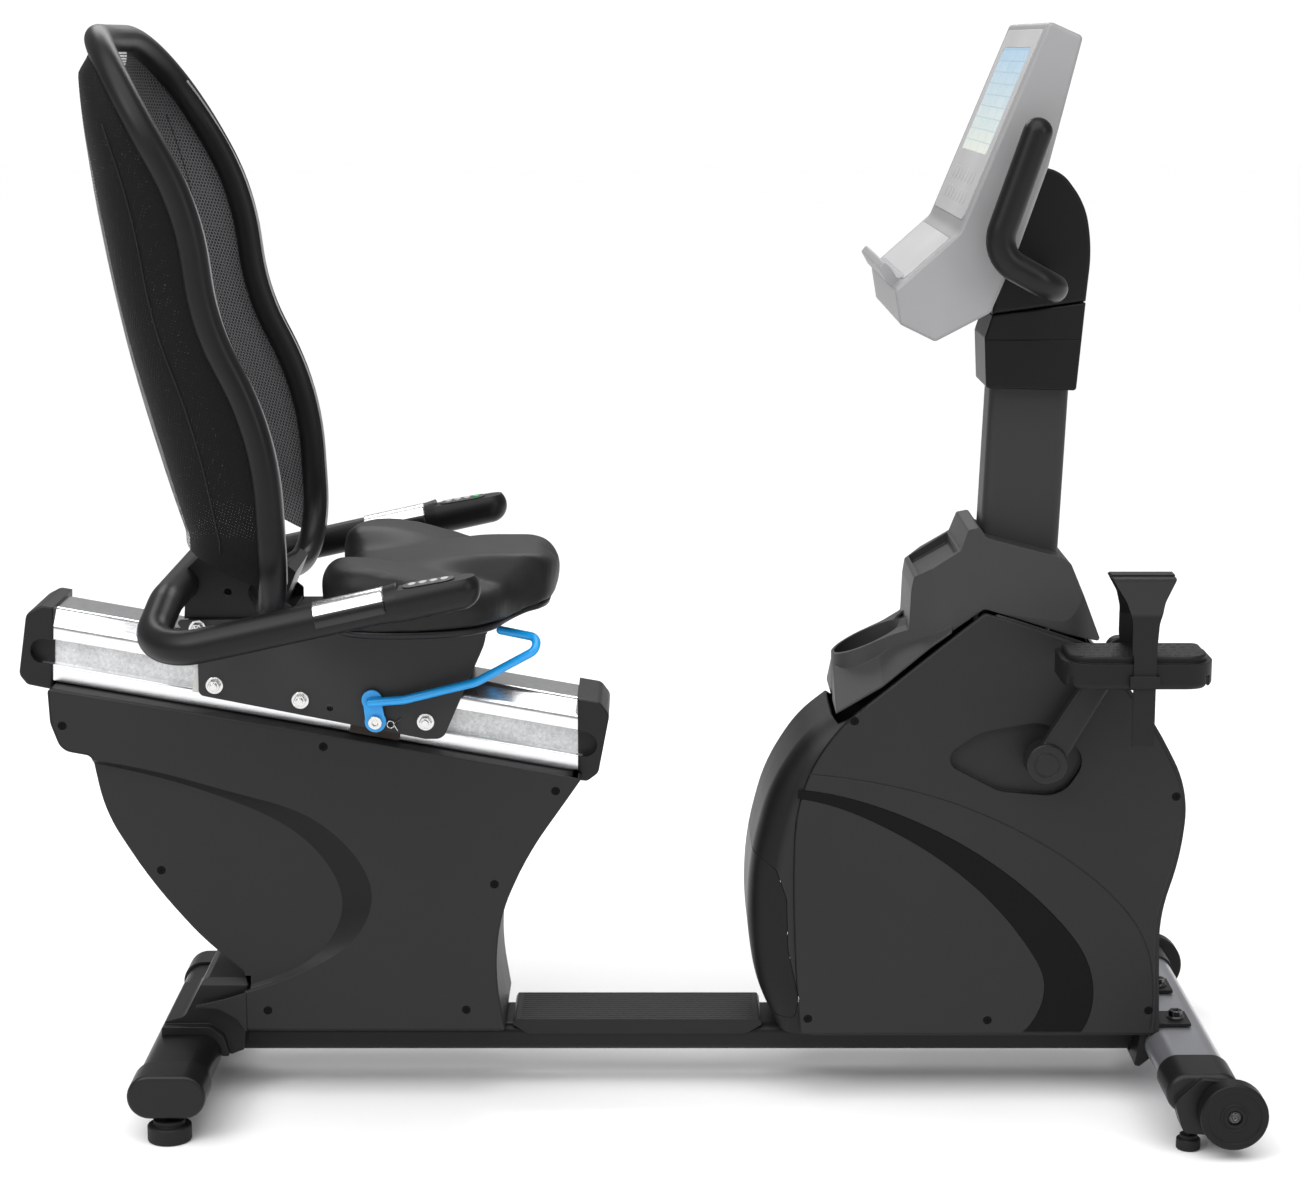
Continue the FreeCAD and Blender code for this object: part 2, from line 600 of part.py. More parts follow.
def drive_shroud_right():
    """Right half of the drive housing: rounded body with a slightly proud side panel."""
    half = DRIVE_HALF
    core_half = half - PANEL_LIFT
    body = drive_form(0, -core_half, REAR_ROUND)
    panel = prism_y(PANEL_OUTLINE, PANEL_RADII, -half, -core_half + 8)
    panel = soften(panel, edges_in_plane_y(panel, -half), 2.4)
    body = body.fuse(panel)
    hollow = drive_form(SKIN + 1, -core_half + SKIN, REAR_ROUND - SKIN)
    pocket = prism_y(CRANK_POCKET, CRANK_POCKET_RADII, -half - 1, -half + POCKET_DEPTH)
    pocket_back = inset_y(CRANK_POCKET, CRANK_POCKET_RADII, -SKIN, -half, -half + POCKET_DEPTH + SKIN)
    seam_room = prism_y(SEAM, 0, -half + PANEL_LIFT + SKIN + 2, 1)
    body = body.cut(hollow.cut(pocket_back))
    axle_room = rod_y(CRANK_X, CRANK_Z, -half - 5, 1, 18)
    spine_room = box((100, SPINE_FRONT + 60), (-SPINE_HALF_WIDTH - 0.4, 1), (40, SPINE_TOP + 16))
    inlay = between_curves(INLAY_OUTER, INLAY_INNER, -half - 1, -half + 1.0)
    line = ribbon(ENGRAVED, 1.8, -half - 1, -half + 1.0)
    access = prism_y(ACCESS_OUTLINE, ACCESS_RADII, -half - 6, 1)
    body = cut(body, [pocket, seam_room, axle_room, spine_room, inlay, line, access])
    tube_room = flat_oval_y(FRONT_X, FRONT_Z, (FRONT_TUBE[0] + 1, FRONT_TUBE[1] + 1), -half - 5, 1)
    bracket_room = prism_y([(645, 40), (645, 92), (664, 104), (730, 104), (730, 40)], 0, -93, 1)
    body = cut(body, [tube_room, bracket_room])
    for x, z in DRIVE_SCREWS:
        body = body.cut(rod_y(x, z, -half - 1, -half + 1.4, 5.6))
        body = body.cut(rod_y(x, z, -half - 1, -half + 9, 2.1))
    return biggest(body)


def inlay_panels():
    inset = 0.4
    outer = [(x - inset, z - inset) for x, z in INLAY_OUTER]
    inner = [(x + inset, z + inset) for x, z in INLAY_INNER]
    outer[0] = (INLAY_OUTER[0][0] + inset, outer[0][1])
    panel = between_curves(outer, inner, -DRIVE_HALF - 0.4, -DRIVE_HALF + 0.95)
    low = box((0, 900), (-200, 0), (0, 96))
    return pair(panel.cut(low))


def access_covers():
    """Removable corner panels low on the rear of the drive housing."""
    core_half = DRIVE_HALF - PANEL_LIFT
    shell = drive_form(0, -core_half, REAR_ROUND).cut(drive_form(SKIN + 1, -core_half + SKIN, REAR_ROUND - SKIN))
    region = inset_y(ACCESS_OUTLINE, ACCESS_RADII, 0.6, -DRIVE_HALF - 6, 1)
    cover = biggest(shell.common(region).cut(box((0, 300), (-0.5, 5), (0, 400))))
    return pair(cover)


def screw_head(x, z, y_face, side):
    """Pan head with a cross slot and a short shank, seated in its pocket."""
    y = side * y_face
    head = rod_y(x, z, y, y + side * 1.2, 5.2)
    shank = rod_y(x, z, y - side * 6, y, 1.9)
    slots = [box((x - 3, x + 3), sorted((y + side * 0.5, y + side * 2)), (z - 0.6, z + 0.6)),
             box((x - 0.6, x + 0.6), sorted((y + side * 0.5, y + side * 2)), (z - 3, z + 3))]
    return cut(head.fuse(shank), slots)


def shroud_screws():
    screws = []
    for side in SIDES:
        for x, z in REAR_SCREWS:
            screws.append(screw_head(x, z, REAR_SHROUD_HALF - screw_depth_rear(x, z) - 1.4, side))
        for x, z in DRIVE_SCREWS:
            screws.append(screw_head(x, z, DRIVE_HALF - 1.4, side))
    return group(screws)


COVER_SIDE = [(257, 524), (257, 573), (351, 616), (353, 666), (356, 684), (414, 720), (423, 745), (438, 748),
              (446, 735), (540, 711), (552, 704), (594, 602), (478, 637.5), (443, 648), (376, 599.5), (316, 549),
              (264, 518)]
COVER_SIDE_RADII = [5, 1, 3, 3, 3, 4, 4, 4, 8, 8, 10, 3, 6, 10, 30, 40, 4]
CUP_X = 304.0
CUP_OUTER = 47.0
CUP_WALL = 3.5
CUP_FLOOR = 514.0
COVER_PLAN = [(257, -CUP_OUTER), (326, -CUP_OUTER - 3), (392, -92), (560, -96), (610, -60)]
COVER_PLAN_RADII = [CUP_OUTER - 0.5, 30, 60, 60, 30]


def both_sides(points, radii):
    """Plan points on the right side followed by their mirror image."""
    return points + [(x, -y) for x, y in reversed(points)], radii + radii[::-1]


FLANK = [(258, 514.4), (316, 549), (376, 599.5), (402, 618.3)]
FLANK_RISE = 46.0            # how far the flank climbs from the housing's side to its root
FLANK_ROOT = -20.0
FLANK_EDGE = -100.0


def flank_wedge(edge_y, edge_rise, root_rise, drop):
    """Wedge along the seam: thin at the housing's side, tall at the cup."""
    wires = []
    for y, rise in ((edge_y, edge_rise), (FLANK_ROOT, root_rise)):
        upper = [(x, z + rise) for x, z in FLANK]
        lower = [(x, z - drop) for x, z in reversed(FLANK)]
        wires.append(outline_xz(upper + lower, 0.0, y))
    return Part.makeLoft(wires, True, True)


def cover_flank():
    """Sloping flank that widens the cover from the cup out to the housing's side."""
    room = flank_wedge(FLANK_EDGE + SKIN + 0.5, -0.4, FLANK_RISE - 4, 8)
    room = room.cut(rod(V(CUP_X, 0, 480), V(CUP_X, 0, 700), CUP_OUTER))
    ends = box((FLANK[0][0] + SKIN, FLANK[-1][0] - SKIN), (-130, 1), (400, 900))
    return flank_wedge(FLANK_EDGE, 3, FLANK_RISE, 0).cut(room.common(ends))


def drive_top_cover():
    """Cover over the drive housing with a round cup holder, a small tray and a mast collar."""
    side_form = prism_y(COVER_SIDE, COVER_SIDE_RADII, -120, 120)
    plan, plan_radii = both_sides(COVER_PLAN, COVER_PLAN_RADII)
    plan_form = prism_z(plan, plan_radii, 480, 800)
    front_form = prism_x([(-102, 480), (102, 480), (102, 600), (62, 800), (-62, 800), (-102, 600)],
                         [0, 0, 60, 20, 20, 60], 200, 650)
    outer = side_form.common(plan_form).common(front_form)
    deep = [(262, 480), (262, 570), (346, 610), (356, 620), (358, 667), (361, 679), (417, 713), (428, 738),
            (540, 705), (590, 594), (590, 480)]
    side_room = prism_y(deep, 0, -120, 120)
    plan_room = prism_z([(x * 0.985 + 6, y * 0.955) for x, y in plan], plan_radii, 480, 800)
    front_room = prism_x([(-98, 470), (98, 470), (98, 600), (58, 800), (-58, 800), (-98, 600)],
                         [0, 0, 58, 18, 18, 58], 200, 650)
    cup_sleeve = rod(V(CUP_X, 0, CUP_FLOOR - CUP_WALL), V(CUP_X, 0, 660), CUP_OUTER)
    tray_floor = prism_y([(350, 655), (352, 684), (416, 720), (424, 706)], 0, -90, 90)
    hollow = side_room.common(plan_room).common(front_room)
    body = outer.cut(cut(hollow, [cup_sleeve, tray_floor]))
    base = rod(V(CUP_X, 0, CUP_FLOOR - CUP_WALL), V(CUP_X, 0, CUP_FLOOR + 20), CUP_OUTER)
    below_seam = prism_y([(240, 480), (240, 524), (257, 524), (264, 518), (316, 549), (376, 599.5), (400, 480)],
                         0, -90, 90)
    base = base.common(below_seam).common(rod(V(CUP_X, 0, 480), V(CUP_X, 0, 600), CUP_OUTER - 4))
    body = fuse([body, base, cover_flank(), mirrored(cover_flank())])
    cup_bore = rod(V(CUP_X, 0, CUP_FLOOR), V(CUP_X, 0, 700), CUP_OUTER - CUP_WALL)
    tray = prism_y([(362, 677), (360, 700), (410, 731), (412, 706)], [3, 0, 0, 3], -70, 70)
    mast_room = leaning_block((MAST[0] + 1.0, MAST[1] + 1.0), 12, 500, 800)
    return biggest(cut(body, [cup_bore, tray, mast_room]))


# --- mast, neck, console, handlebar ---------------------------------------------------
def mast_tube():
    outer = leaning_block(MAST, 12, 640, MAST_TOP)
    inner = leaning_block((MAST[0] - 2 * MAST_WALL, MAST[1] - 2 * MAST_WALL), 9, 639, MAST_TOP + 1)
    bar_room = sweep(handlebar_path(), HANDLEBAR_BENDS, HANDLEBAR_R)
    return biggest(cut(outer, [inner, bar_room]))


NECK_HALF = 58.0
NECK_LOWER = [(443, 922), (556, 919), (562, 992), (565, 1029), (449, 1013), (440, 985)]
NECK_LOWER_RADII = [4, 4, FLOW, 1, 1, 8]
NECK_UPPER = [(449, 1014.4), (565, 1030.4), (571, 1095), (562, 1150), (532, 1190), (500, 1198), (454, 1066)]
NECK_UPPER_RADII = [1, 1, FLOW, FLOW, FLOW, 6, 30]
NECK_LINE = 983.0            # groove between the two bands of the lower piece


def neck_cover():
    """Two-piece cowl round the top of the mast and the console joint."""
    mast_room = leaning_block((MAST[0] + 0.6, MAST[1] + 0.6), 12, 900, MAST_TOP + 0.5)
    halves = []
    for outline, radii, rounding in ((NECK_LOWER, NECK_LOWER_RADII, 2.5), (NECK_UPPER, NECK_UPPER_RADII, 4.0)):
        form = prism_y(outline, radii, -NECK_HALF, NECK_HALF)
        form = soften(form, edges_in_plane_y(form, -NECK_HALF) + edges_in_plane_y(form, NECK_HALF), rounding)
        halves.append(form.cut(inset_y(outline, radii, 4, -NECK_HALF + 4, NECK_HALF - 4)))
    lower, upper = halves
    grooves = [box((430, 580), sorted((side * (NECK_HALF - 1), side * 70)), (NECK_LINE - 0.8, NECK_LINE + 0.8))
               for side in SIDES]
    handlebar_room = sweep(handlebar_path(), HANDLEBAR_BENDS, HANDLEBAR_R + 0.3)
    lower = cut(lower, [mast_room, handlebar_room] + grooves)
    upper = cut(upper, [mast_room, handlebar_room])
    return group([biggest(lower), biggest(upper)])


CONSOLE_HALF = 187.0
CONSOLE_SIDE = [(493, 1372), (534, 1354), (497, 1202), (462, 1100), (432, 1028), (404, 1013), (366, 993),
                (323, 1014), (316, 1056), (392, 1124)]
CONSOLE_RADII = [6, 6, 30, 60, 8, 8, 6, 6, 6, 20]
FACE_TOP = V(493, 0, 1372)
FACE_BEND = V(392, 0, 1124)
FACE_LOW = V(316, 0, 1056)


def console_housing():
    body = prism_y(CONSOLE_SIDE, CONSOLE_RADII, -CONSOLE_HALF, CONSOLE_HALF)
    rims = edges_in_plane_y(body, -CONSOLE_HALF) + edges_in_plane_y(body, CONSOLE_HALF)
    body = soften(body, rims, 5)
    hollow = inset_y(CONSOLE_SIDE, CONSOLE_RADII, 4, -CONSOLE_HALF + 4, CONSOLE_HALF - 4)
    body = body.cut(hollow)
    body = body.fuse(lip_prism())
    body = body.cut(face_plate(FACE_BEND, FACE_TOP, 14, 10, 168, 5, -3))
    body = body.cut(face_plate(FACE_LOW, FACE_BEND, 16, 12, 168, 5, -3))
    neck_room = prism_y(NECK_UPPER, NECK_UPPER_RADII, -NECK_HALF - 0.5, NECK_HALF + 0.5)
    neck_low = prism_y(NECK_LOWER, NECK_LOWER_RADII, -NECK_HALF - 0.5, NECK_HALF + 0.5)
    mast_room = leaning_block((MAST[0] + 1, MAST[1] + 1), 12, 900, MAST_TOP + 1)
    return biggest(cut(body, [neck_room, neck_low, mast_room]))


def lip_prism():
    """Ledge at the foot of the console that stops a book or tablet sliding off."""
    outline = [(324, 1050), (309, 1062), (300, 1078), (306, 1086), (314, 1079), (322, 1066), (334, 1072)]
    return prism_y(outline, [0, 3, 3, 2, 2, 4, 0], -150, 150)


def face_plate(low, high, low_margin, high_margin, half_width, deep, proud):
    """Rounded rectangle lying on one of the console's sloping faces."""
    along = (high - low)
    length = along.Length
    along.normalize()
    out = V(-along.z, 0, along.x)
    if out.x > 0:
        out = out * -1
    start = low + along * low_margin
    end_reach = length - low_margin - high_margin
    corners = [start + V(0, -half_width, 0), start + V(0, half_width, 0),
               start + along * end_reach + V(0, half_width, 0), start + along * end_reach + V(0, -half_width, 0)]
    lifted = [corner + out * -deep for corner in corners]
    wire = corner_points(lifted, 10, True)
    return Part.Face(wire).extrude(out * (deep + 4 + proud))


def console_fascia():
    """Upper and lower front panels, each one set into the housing's face."""
    upper = face_plate(FACE_BEND, FACE_TOP, 14.4, 10.4, 167.6, 4.8, -3.2)
    screen_room = face_plate(FACE_BEND, FACE_TOP, 96, 34, 133, 4.0, 0)
    lower = face_plate(FACE_LOW, FACE_BEND, 16.4, 12.4, 167.6, 4.8, -3.2)
    body = upper.cut(screen_room)
    keys = []
    for row in range(2):
        for column in range(7):
            keys.append(face_key(column, row))
    return group([fuse([body] + keys), lower])


def face_key(column, row):
    """Small raised key on the panel under the screen."""
    along = FACE_TOP - FACE_BEND
    along.normalize()
    out = V(-along.z, 0, along.x)
    centre = FACE_BEND + along * (40 + 26 * row) + V(0, -108 + 36 * column, 0)
    base = centre - out * 0.5
    return Part.makeCylinder(8.5, 1.6, base, out)


def console_screen():
    return face_plate(FACE_BEND, FACE_TOP, 96.4, 34.4, 132.6, 3.9, -3.6)


HANDLEBAR_R = 17.5
HORN_HALF = 222.0
HANDLEBAR_BENDS = [0, 38, 30, 30, 38, 0]
BAR_ROOT = (505.0, 1058.0)


def handlebar_path():
    top = V(478, -HORN_HALF, 1243)
    elbow = V(429, -HORN_HALF, 1100)
    root = V(BAR_ROOT[0], -HORN_HALF, BAR_ROOT[1])
    right = [top, elbow, root]
    left = [V(p.x, -p.y, p.z) for p in reversed(right)]
    return right + left


def handlebar():
    """Bullhorn bar: one bent tube through the neck with foam-covered horns."""
    points = handlebar_path()
    bar = sweep(points, HANDLEBAR_BENDS, HANDLEBAR_R)
    hollow = rod(V(BAR_ROOT[0], -170, BAR_ROOT[1]), V(BAR_ROOT[0], 170, BAR_ROOT[1]), HANDLEBAR_R - 3)
    for end in (points[0], points[-1]):
        bar = bar.fuse(ball(end, HANDLEBAR_R))
    return bar.cut(hollow)


# --- drive train --------------------------------------------------------------------
def crank_direction(side):
    turn = math.radians(CRANK_ANGLE)
    flip = 1 if side == RIGHT else -1
    return V(flip * math.cos(turn), 0, flip * math.sin(turn))


def pedal_axis(side):
    return V(CRANK_X, 0, CRANK_Z) + crank_direction(side) * CRANK_LENGTH


def crank_axle():
    axle = rod_y(CRANK_X, CRANK_Z, -140, 140, AXLE_R - RUNNING_FIT)
    return axle


def crank_arm(side):
    centre = V(CRANK_X, 0, CRANK_Z)
    tip = pedal_axis(side)
    along = crank_direction(side)
    across = V(-along.z, 0, along.x)
    y_in = side * 124.0
    corners = [centre - along * 8 - across * 19, tip - across * 15, tip + across * 15, centre - along * 8 + across * 19]
    corners = [corner + V(0, y_in, 0) for corner in corners]
    blade = Part.Face(corner_points(corners, 3, True)).extrude(V(0, side * 15, 0))
    outer_edges = edges_in_plane_y(blade, side * 139.0)
    blade = soften(blade, outer_edges, 4)
    boss = rod_y(CRANK_X, CRANK_Z, side * 112, side * 144, 26)
    boss = soften(boss, edges_in_plane_y(boss, side * 144.0), 3)
    eye = rod_y(tip.x, tip.z, y_in, side * 142, 16)
    eye = soften(eye, edges_in_plane_y(eye, side * 142.0), 3)
    axle_room = rod_y(CRANK_X, CRANK_Z, side * 100, side * 140, AXLE_R - RUNNING_FIT)
    cap_ring = ring_y(CRANK_X, CRANK_Z, side * 142.8, side * 146, 16.5, 13.5)
    spindle_room = rod_y(tip.x, tip.z, side * 120, side * 150, 8)
    return cut(fuse([blade, boss, eye]), [axle_room, cap_ring, spindle_room])


def pedal_spindles():
    spindles = []
    for side in SIDES:
        tip = pedal_axis(side)
        thread = rod_y(tip.x, tip.z, side * 125, side * 148, 8)
        shaft = rod_y(tip.x, tip.z, side * 148, side * 250, 6)
        spindles.append(thread.fuse(shaft))
    return group(spindles)


PEDAL_REAR = -84.0
PEDAL_FRONT = 99.0
PEDAL_LOW = -26.0
PEDAL_HIGH = 14.0


def pedal(side):
    """Wide platform with a deep skirt, hollow below, that turns on its spindle."""
    tip = pedal_axis(side)
    low, high = sorted((side * PEDAL_Y[0], side * PEDAL_Y[1]))
    plan = [(tip.x + PEDAL_REAR, low), (tip.x + PEDAL_FRONT, low), (tip.x + PEDAL_FRONT, high),
            (tip.x + PEDAL_REAR, high)]
    inner_radii = [12, 12, 36, 36] if side == LEFT else [36, 36, 12, 12]
    body = prism_z(plan, inner_radii, tip.z + PEDAL_LOW, tip.z + 6)
    body = soften(body, edges_in_plane_z(body, tip.z + PEDAL_LOW), 7)
    tread_plan = [(tip.x + PEDAL_REAR + 7, low + 7), (tip.x + PEDAL_FRONT - 7, low + 7),
                  (tip.x + PEDAL_FRONT - 7, high - 7), (tip.x + PEDAL_REAR + 7, high - 7)]
    tread = prism_z(tread_plan, [10, 10, 29, 29] if side == LEFT else [29, 29, 10, 10], tip.z + 5, tip.z + PEDAL_HIGH)
    tread = soften(tread, edges_in_plane_z(tread, tip.z + PEDAL_HIGH), 3)
    y_mid = side * (PEDAL_Y[0] + PEDAL_Y[1]) / 2
    hollows = []
    for x_from, x_to in ((PEDAL_REAR + 6, -16), (16, PEDAL_FRONT - 6)):
        hollows.append(box((tip.x + x_from, tip.x + x_to), (y_mid - 40, y_mid + 40), (tip.z - 40, tip.z - 10)))
    bore = rod_y(tip.x, tip.z, side * 150, side * 251, 6 + RUNNING_FIT)
    weight = box((tip.x - 12, tip.x + 16), (y_mid - 30, y_mid + 30), (tip.z - 30, tip.z - 25))
    return cut(fuse([body, tread, weight]), hollows + [bore])


def strap_band(side, x_mid, width, path, thickness):
    """Flat band in the YZ plane, drawn as an open loop and given a width along X."""
    outer = corner_points([V(x_mid - width / 2, side * y, z) for y, z in path], 12, False)
    edges = outer.makeOffset2D(thickness / 2, openResult=False, fill=True)
    return edges.extrude(V(width, 0, 0))


STRAP_FLARE = [(-13.5, -100), (13.5, -100), (13.5, 20), (16, 58), (24, 80), (41, 104), (41, 120), (-36, 120),
               (-36, 104), (-22, 80), (-16, 58), (-16, 24), (-13.5, 12)]
STRAP_FLARE_RADII = [3, 3, 40, 40, 30, 4, 0, 0, 4, 30, 40, 40, 20]


def pedal_strap(side):
    """Foot strap: over the foot from the inner rim to the outer skirt, with its tail hanging."""
    tip = pedal_axis(side)
    x_mid = tip.x + 12
    outer_face = PEDAL_Y[1] + 0.4
    inner_face = PEDAL_Y[0] - 0.4
    thick = 2.6
    arch_top = tip.z + 104
    skirt_low = tip.z + PEDAL_LOW
    centre_out = outer_face + thick / 2
    centre_in = inner_face - thick / 2
    over = [(centre_in, skirt_low + 6), (centre_in, tip.z + 50), (centre_in + 20, arch_top), (centre_out - 34, arch_top),
            (centre_out, tip.z + 66), (centre_out, tip.z - 94)]
    flare = [(x_mid + x, tip.z + z) for x, z in STRAP_FLARE]
    band = strap_band(side, x_mid, 84, over, thick)
    pad_y = sorted((side * (centre_in + 34), side * (centre_out - 48)))
    pad = box((x_mid - 42, x_mid + 42), pad_y, (arch_top, arch_top + thick + 1))
    band = band.fuse(pad).common(prism_y(flare, STRAP_FLARE_RADII, -280, 280))
    buckle_y = sorted((side * outer_face, side * (outer_face + 6.5)))
    buckle = box((x_mid - 18, x_mid + 18), buckle_y, (tip.z - 22, tip.z - 8))
    rivet_y = sorted((side * (inner_face - 4.2), side * inner_face))
    rivet = box((x_mid - 9, x_mid + 9), rivet_y, (skirt_low + 7, skirt_low + 19))
    spindle_room = rod_y(tip.x, tip.z, side * 140, side * 158, 7.5)
    return fuse([band, buckle, rivet]).cut(spindle_room)


def crank_bearings():
    bearings = []
    for side in SIDES:
        bearings.append(ring_y(CRANK_X, CRANK_Z, side * 29.0, side * 41.0, 21, AXLE_R))
    return group(bearings)


def drive_pulley():
    low, high = BELT_Y
    rim = ring_y(CRANK_X, CRANK_Z, low - 2, high + 2, PULLEY_R - GAP, PULLEY_R - 12)
    flange = ring_y(CRANK_X, CRANK_Z, low - 2, low - 0.5, PULLEY_R + 2.5, PULLEY_R - 6)
    hub = rod_y(CRANK_X, CRANK_Z, low - 8, high + 4, 24)
    disc = ring_y(CRANK_X, CRANK_Z, low + 3, low + 8, PULLEY_R - 10, 20)
    windows = []
    for i in range(5):
        turn = math.radians(72 * i)
        windows.append(rod_y(CRANK_X + 62 * math.cos(turn), CRANK_Z + 62 * math.sin(turn), low, high, 21))
    body = fuse([rim, flange, hub, cut(disc, windows)])
    return body.cut(rod_y(CRANK_X, CRANK_Z, 0, 120, AXLE_R - RUNNING_FIT))


def tangent_points(first, second):
    """Touch points of a belt run between two rounds: (x, z, radius, turning sense)."""
    x1, z1, r1, s1 = first
    x2, z2, r2, s2 = second
    dx = x2 - x1
    dz = z2 - z1
    length = math.hypot(dx, dz)
    ratio = (s1 * r1 - s2 * r2) / length
    side = math.sqrt(1 - ratio * ratio)
    mx = dx / length * ratio + dz / length * side
    mz = dz / length * ratio - dx / length * side
    return (x1 + mx * s1 * r1, z1 + mz * s1 * r1), (x2 + mx * s2 * r2, z2 + mz * s2 * r2)


def belt_wire(extra):
    """Closed belt line round the three pulleys; the idler presses on its back."""
    idler_line = IDLER_R + GAP + BELT_THICK - extra
    rounds = [(CRANK_X, CRANK_Z, PULLEY_R + extra, -1), (IDLER_AT[0], IDLER_AT[1], idler_line, 1),
              (ROTOR_AT[0], ROTOR_AT[1], ROTOR_PULLEY_R + extra, -1)]
    runs = [tangent_points(rounds[i], rounds[(i + 1) % 3]) for i in range(3)]
    y = BELT_Y[0]
    edges = []
    for i in range(3):
        start, end = runs[i]
        edges.append(Part.makeLine(V(start[0], y, start[1]), V(end[0], y, end[1])))
        leave = runs[(i + 1) % 3][0]
        x, z, radius, sense = rounds[(i + 1) % 3]
        arrive_turn = math.atan2(end[1] - z, end[0] - x)
        leave_turn = math.atan2(leave[1] - z, leave[0] - x)
        while (leave_turn - arrive_turn) * sense < 0:
            leave_turn += 2 * math.pi * sense
        half_way = (arrive_turn + leave_turn) / 2
        middle = V(x + radius * math.cos(half_way), y, z + radius * math.sin(half_way))
        edges.append(Part.Arc(V(end[0], y, end[1]), middle, V(leave[0], y, leave[1])).toShape())
    return Part.Wire(Part.__sortEdges__(edges))


def drive_belt():
    width = V(0, BELT_Y[1] - BELT_Y[0], 0)
    outer = wire_solid(belt_wire(BELT_THICK), width)
    inner = wire_solid(belt_wire(0.0), width)
    return outer.cut(inner)


def idler_pulley():
    low, high = BELT_Y
    body = rod_y(IDLER_AT[0], IDLER_AT[1], low - 1, high + 1, IDLER_R)
    return body.cut(rod_y(IDLER_AT[0], IDLER_AT[1], low - 5, high + 5, 6 + RUNNING_FIT))


def generator():
    """Fixed stator of the generator brake, on a hub bolted to the frame plate."""
    x, z = ROTOR_AT
    core = rod_y(x, z, -38, 20, 54)
    hub = rod_y(x, z, -46, -37, 20)
    spigot = rod_y(x, z, -52, -45, 11.8)
    return cut(fuse([core, hub, spigot]), [rod_y(x, z, -40, 30, 8)])


def generator_rotor():
    """Magnet ring, disc, shaft and small belt pulley turning as one piece."""
    x, z = ROTOR_AT
    ring = ring_y(x, z, -34, 26, 76, 58)
    disc = rod_y(x, z, 22, 30, 76)
    shaft = rod_y(x, z, -36, 78, 8 - RUNNING_FIT)
    neck = rod_y(x, z, 29, 60, 13)
    sheave = rod_y(x, z, BELT_Y[0] - 1, BELT_Y[1] + 1, ROTOR_PULLEY_R - GAP)
    return fuse([ring, disc, shaft, neck, sheave])


def controller_board():
    x = mast_x(560) - 48
    board = box((x - 12, x - 10), (-28, 28), (525, 595))
    posts = [box((x - 10, x + 3), (y - 3, y + 3), (z - 3, z + 3)) for y in (-22, 22) for z in (531, 589)]
    parts = [box((x - 22, x - 12), (-20, 4), (535, 556)), box((x - 18, x - 12), (8, 22), (566, 586)),
             rod(V(x - 12, -10, 575), V(x - 28, -10, 575), 7)]
    post = leaning_block((MAST[0] - 2 * MAST_WALL - 0.6, MAST[1] - 2 * MAST_WALL - 0.6), 10, SPINE_TOP, 700)
    return fuse([board] + parts + posts).cut(post)


def battery():
    case = box((572, 652), (-36, 36), (SPINE_TOP + 0.5, 150))
    case = soften(case, case.Edges, 3)
    terminals = [box((582, 590), (y - 3, y + 3), (149, 157)) for y in (-20, 20)]
    return fuse([case] + terminals)


# --- seat rail, carriage and seat -----------------------------------------------------
def rail_section(extra, x_from, x_to):
    """Outer form of the rail, grown by some clearance, in the rail's own frame."""
    half = RAIL_HALF + extra
    low = -RAIL_HEIGHT / 2 - extra
    high = RAIL_HEIGHT / 2 + extra
    floor = CHANNEL_FLOOR + extra
    right = [(-half, low), (-half, CHANNEL_LOW + extra), (-floor, CHANNEL_LOW + extra), (-floor, CHANNEL_HIGH - extra),
             (-half, CHANNEL_HIGH - extra), (-half, 26), (-half + 20, high)]
    left = [(-y, z) for y, z in reversed(right)]
    radii = [3, 1.5, 1, 1, 1.5, 10, 14]
    return prism_x(right + left, radii + radii[::-1], x_from, x_to)


def seat_rail():
    """Aluminium extrusion with a guide channel down each side."""
    low = -RAIL_HEIGHT / 2
    high = RAIL_HEIGHT / 2
    outer = rail_section(0.0, RAIL_REAR, RAIL_FRONT)
    wall = 4.0
    room = prism_x([(-CHANNEL_FLOOR + wall, low + wall), (CHANNEL_FLOOR - wall, low + wall),
                    (CHANNEL_FLOOR - wall, 30), (34, high - wall), (-34, high - wall), (-CHANNEL_FLOOR + wall, 30)],
                   [3, 3, 6, 6, 6, 6], RAIL_REAR - 1, RAIL_FRONT + 1)
    rib = box((RAIL_REAR, RAIL_FRONT), (-CHANNEL_FLOOR + 1, CHANNEL_FLOOR - 1), (CHANNEL_LOW - 1.5, CHANNEL_LOW + 1.5))
    body = outer.cut(room).fuse(rib)
    return on_rail(body)


REAR_CAP_SIDE = [(-347, 50), (-362, 50), (-380, 36), (-378, -44), (-366, -55), (-333, -56)]
FRONT_CAP_SIDE = [(327, 50), (356, 50), (371, 36), (370, -42), (358, -55), (346, -56)]
CAP_HALF = 64.0


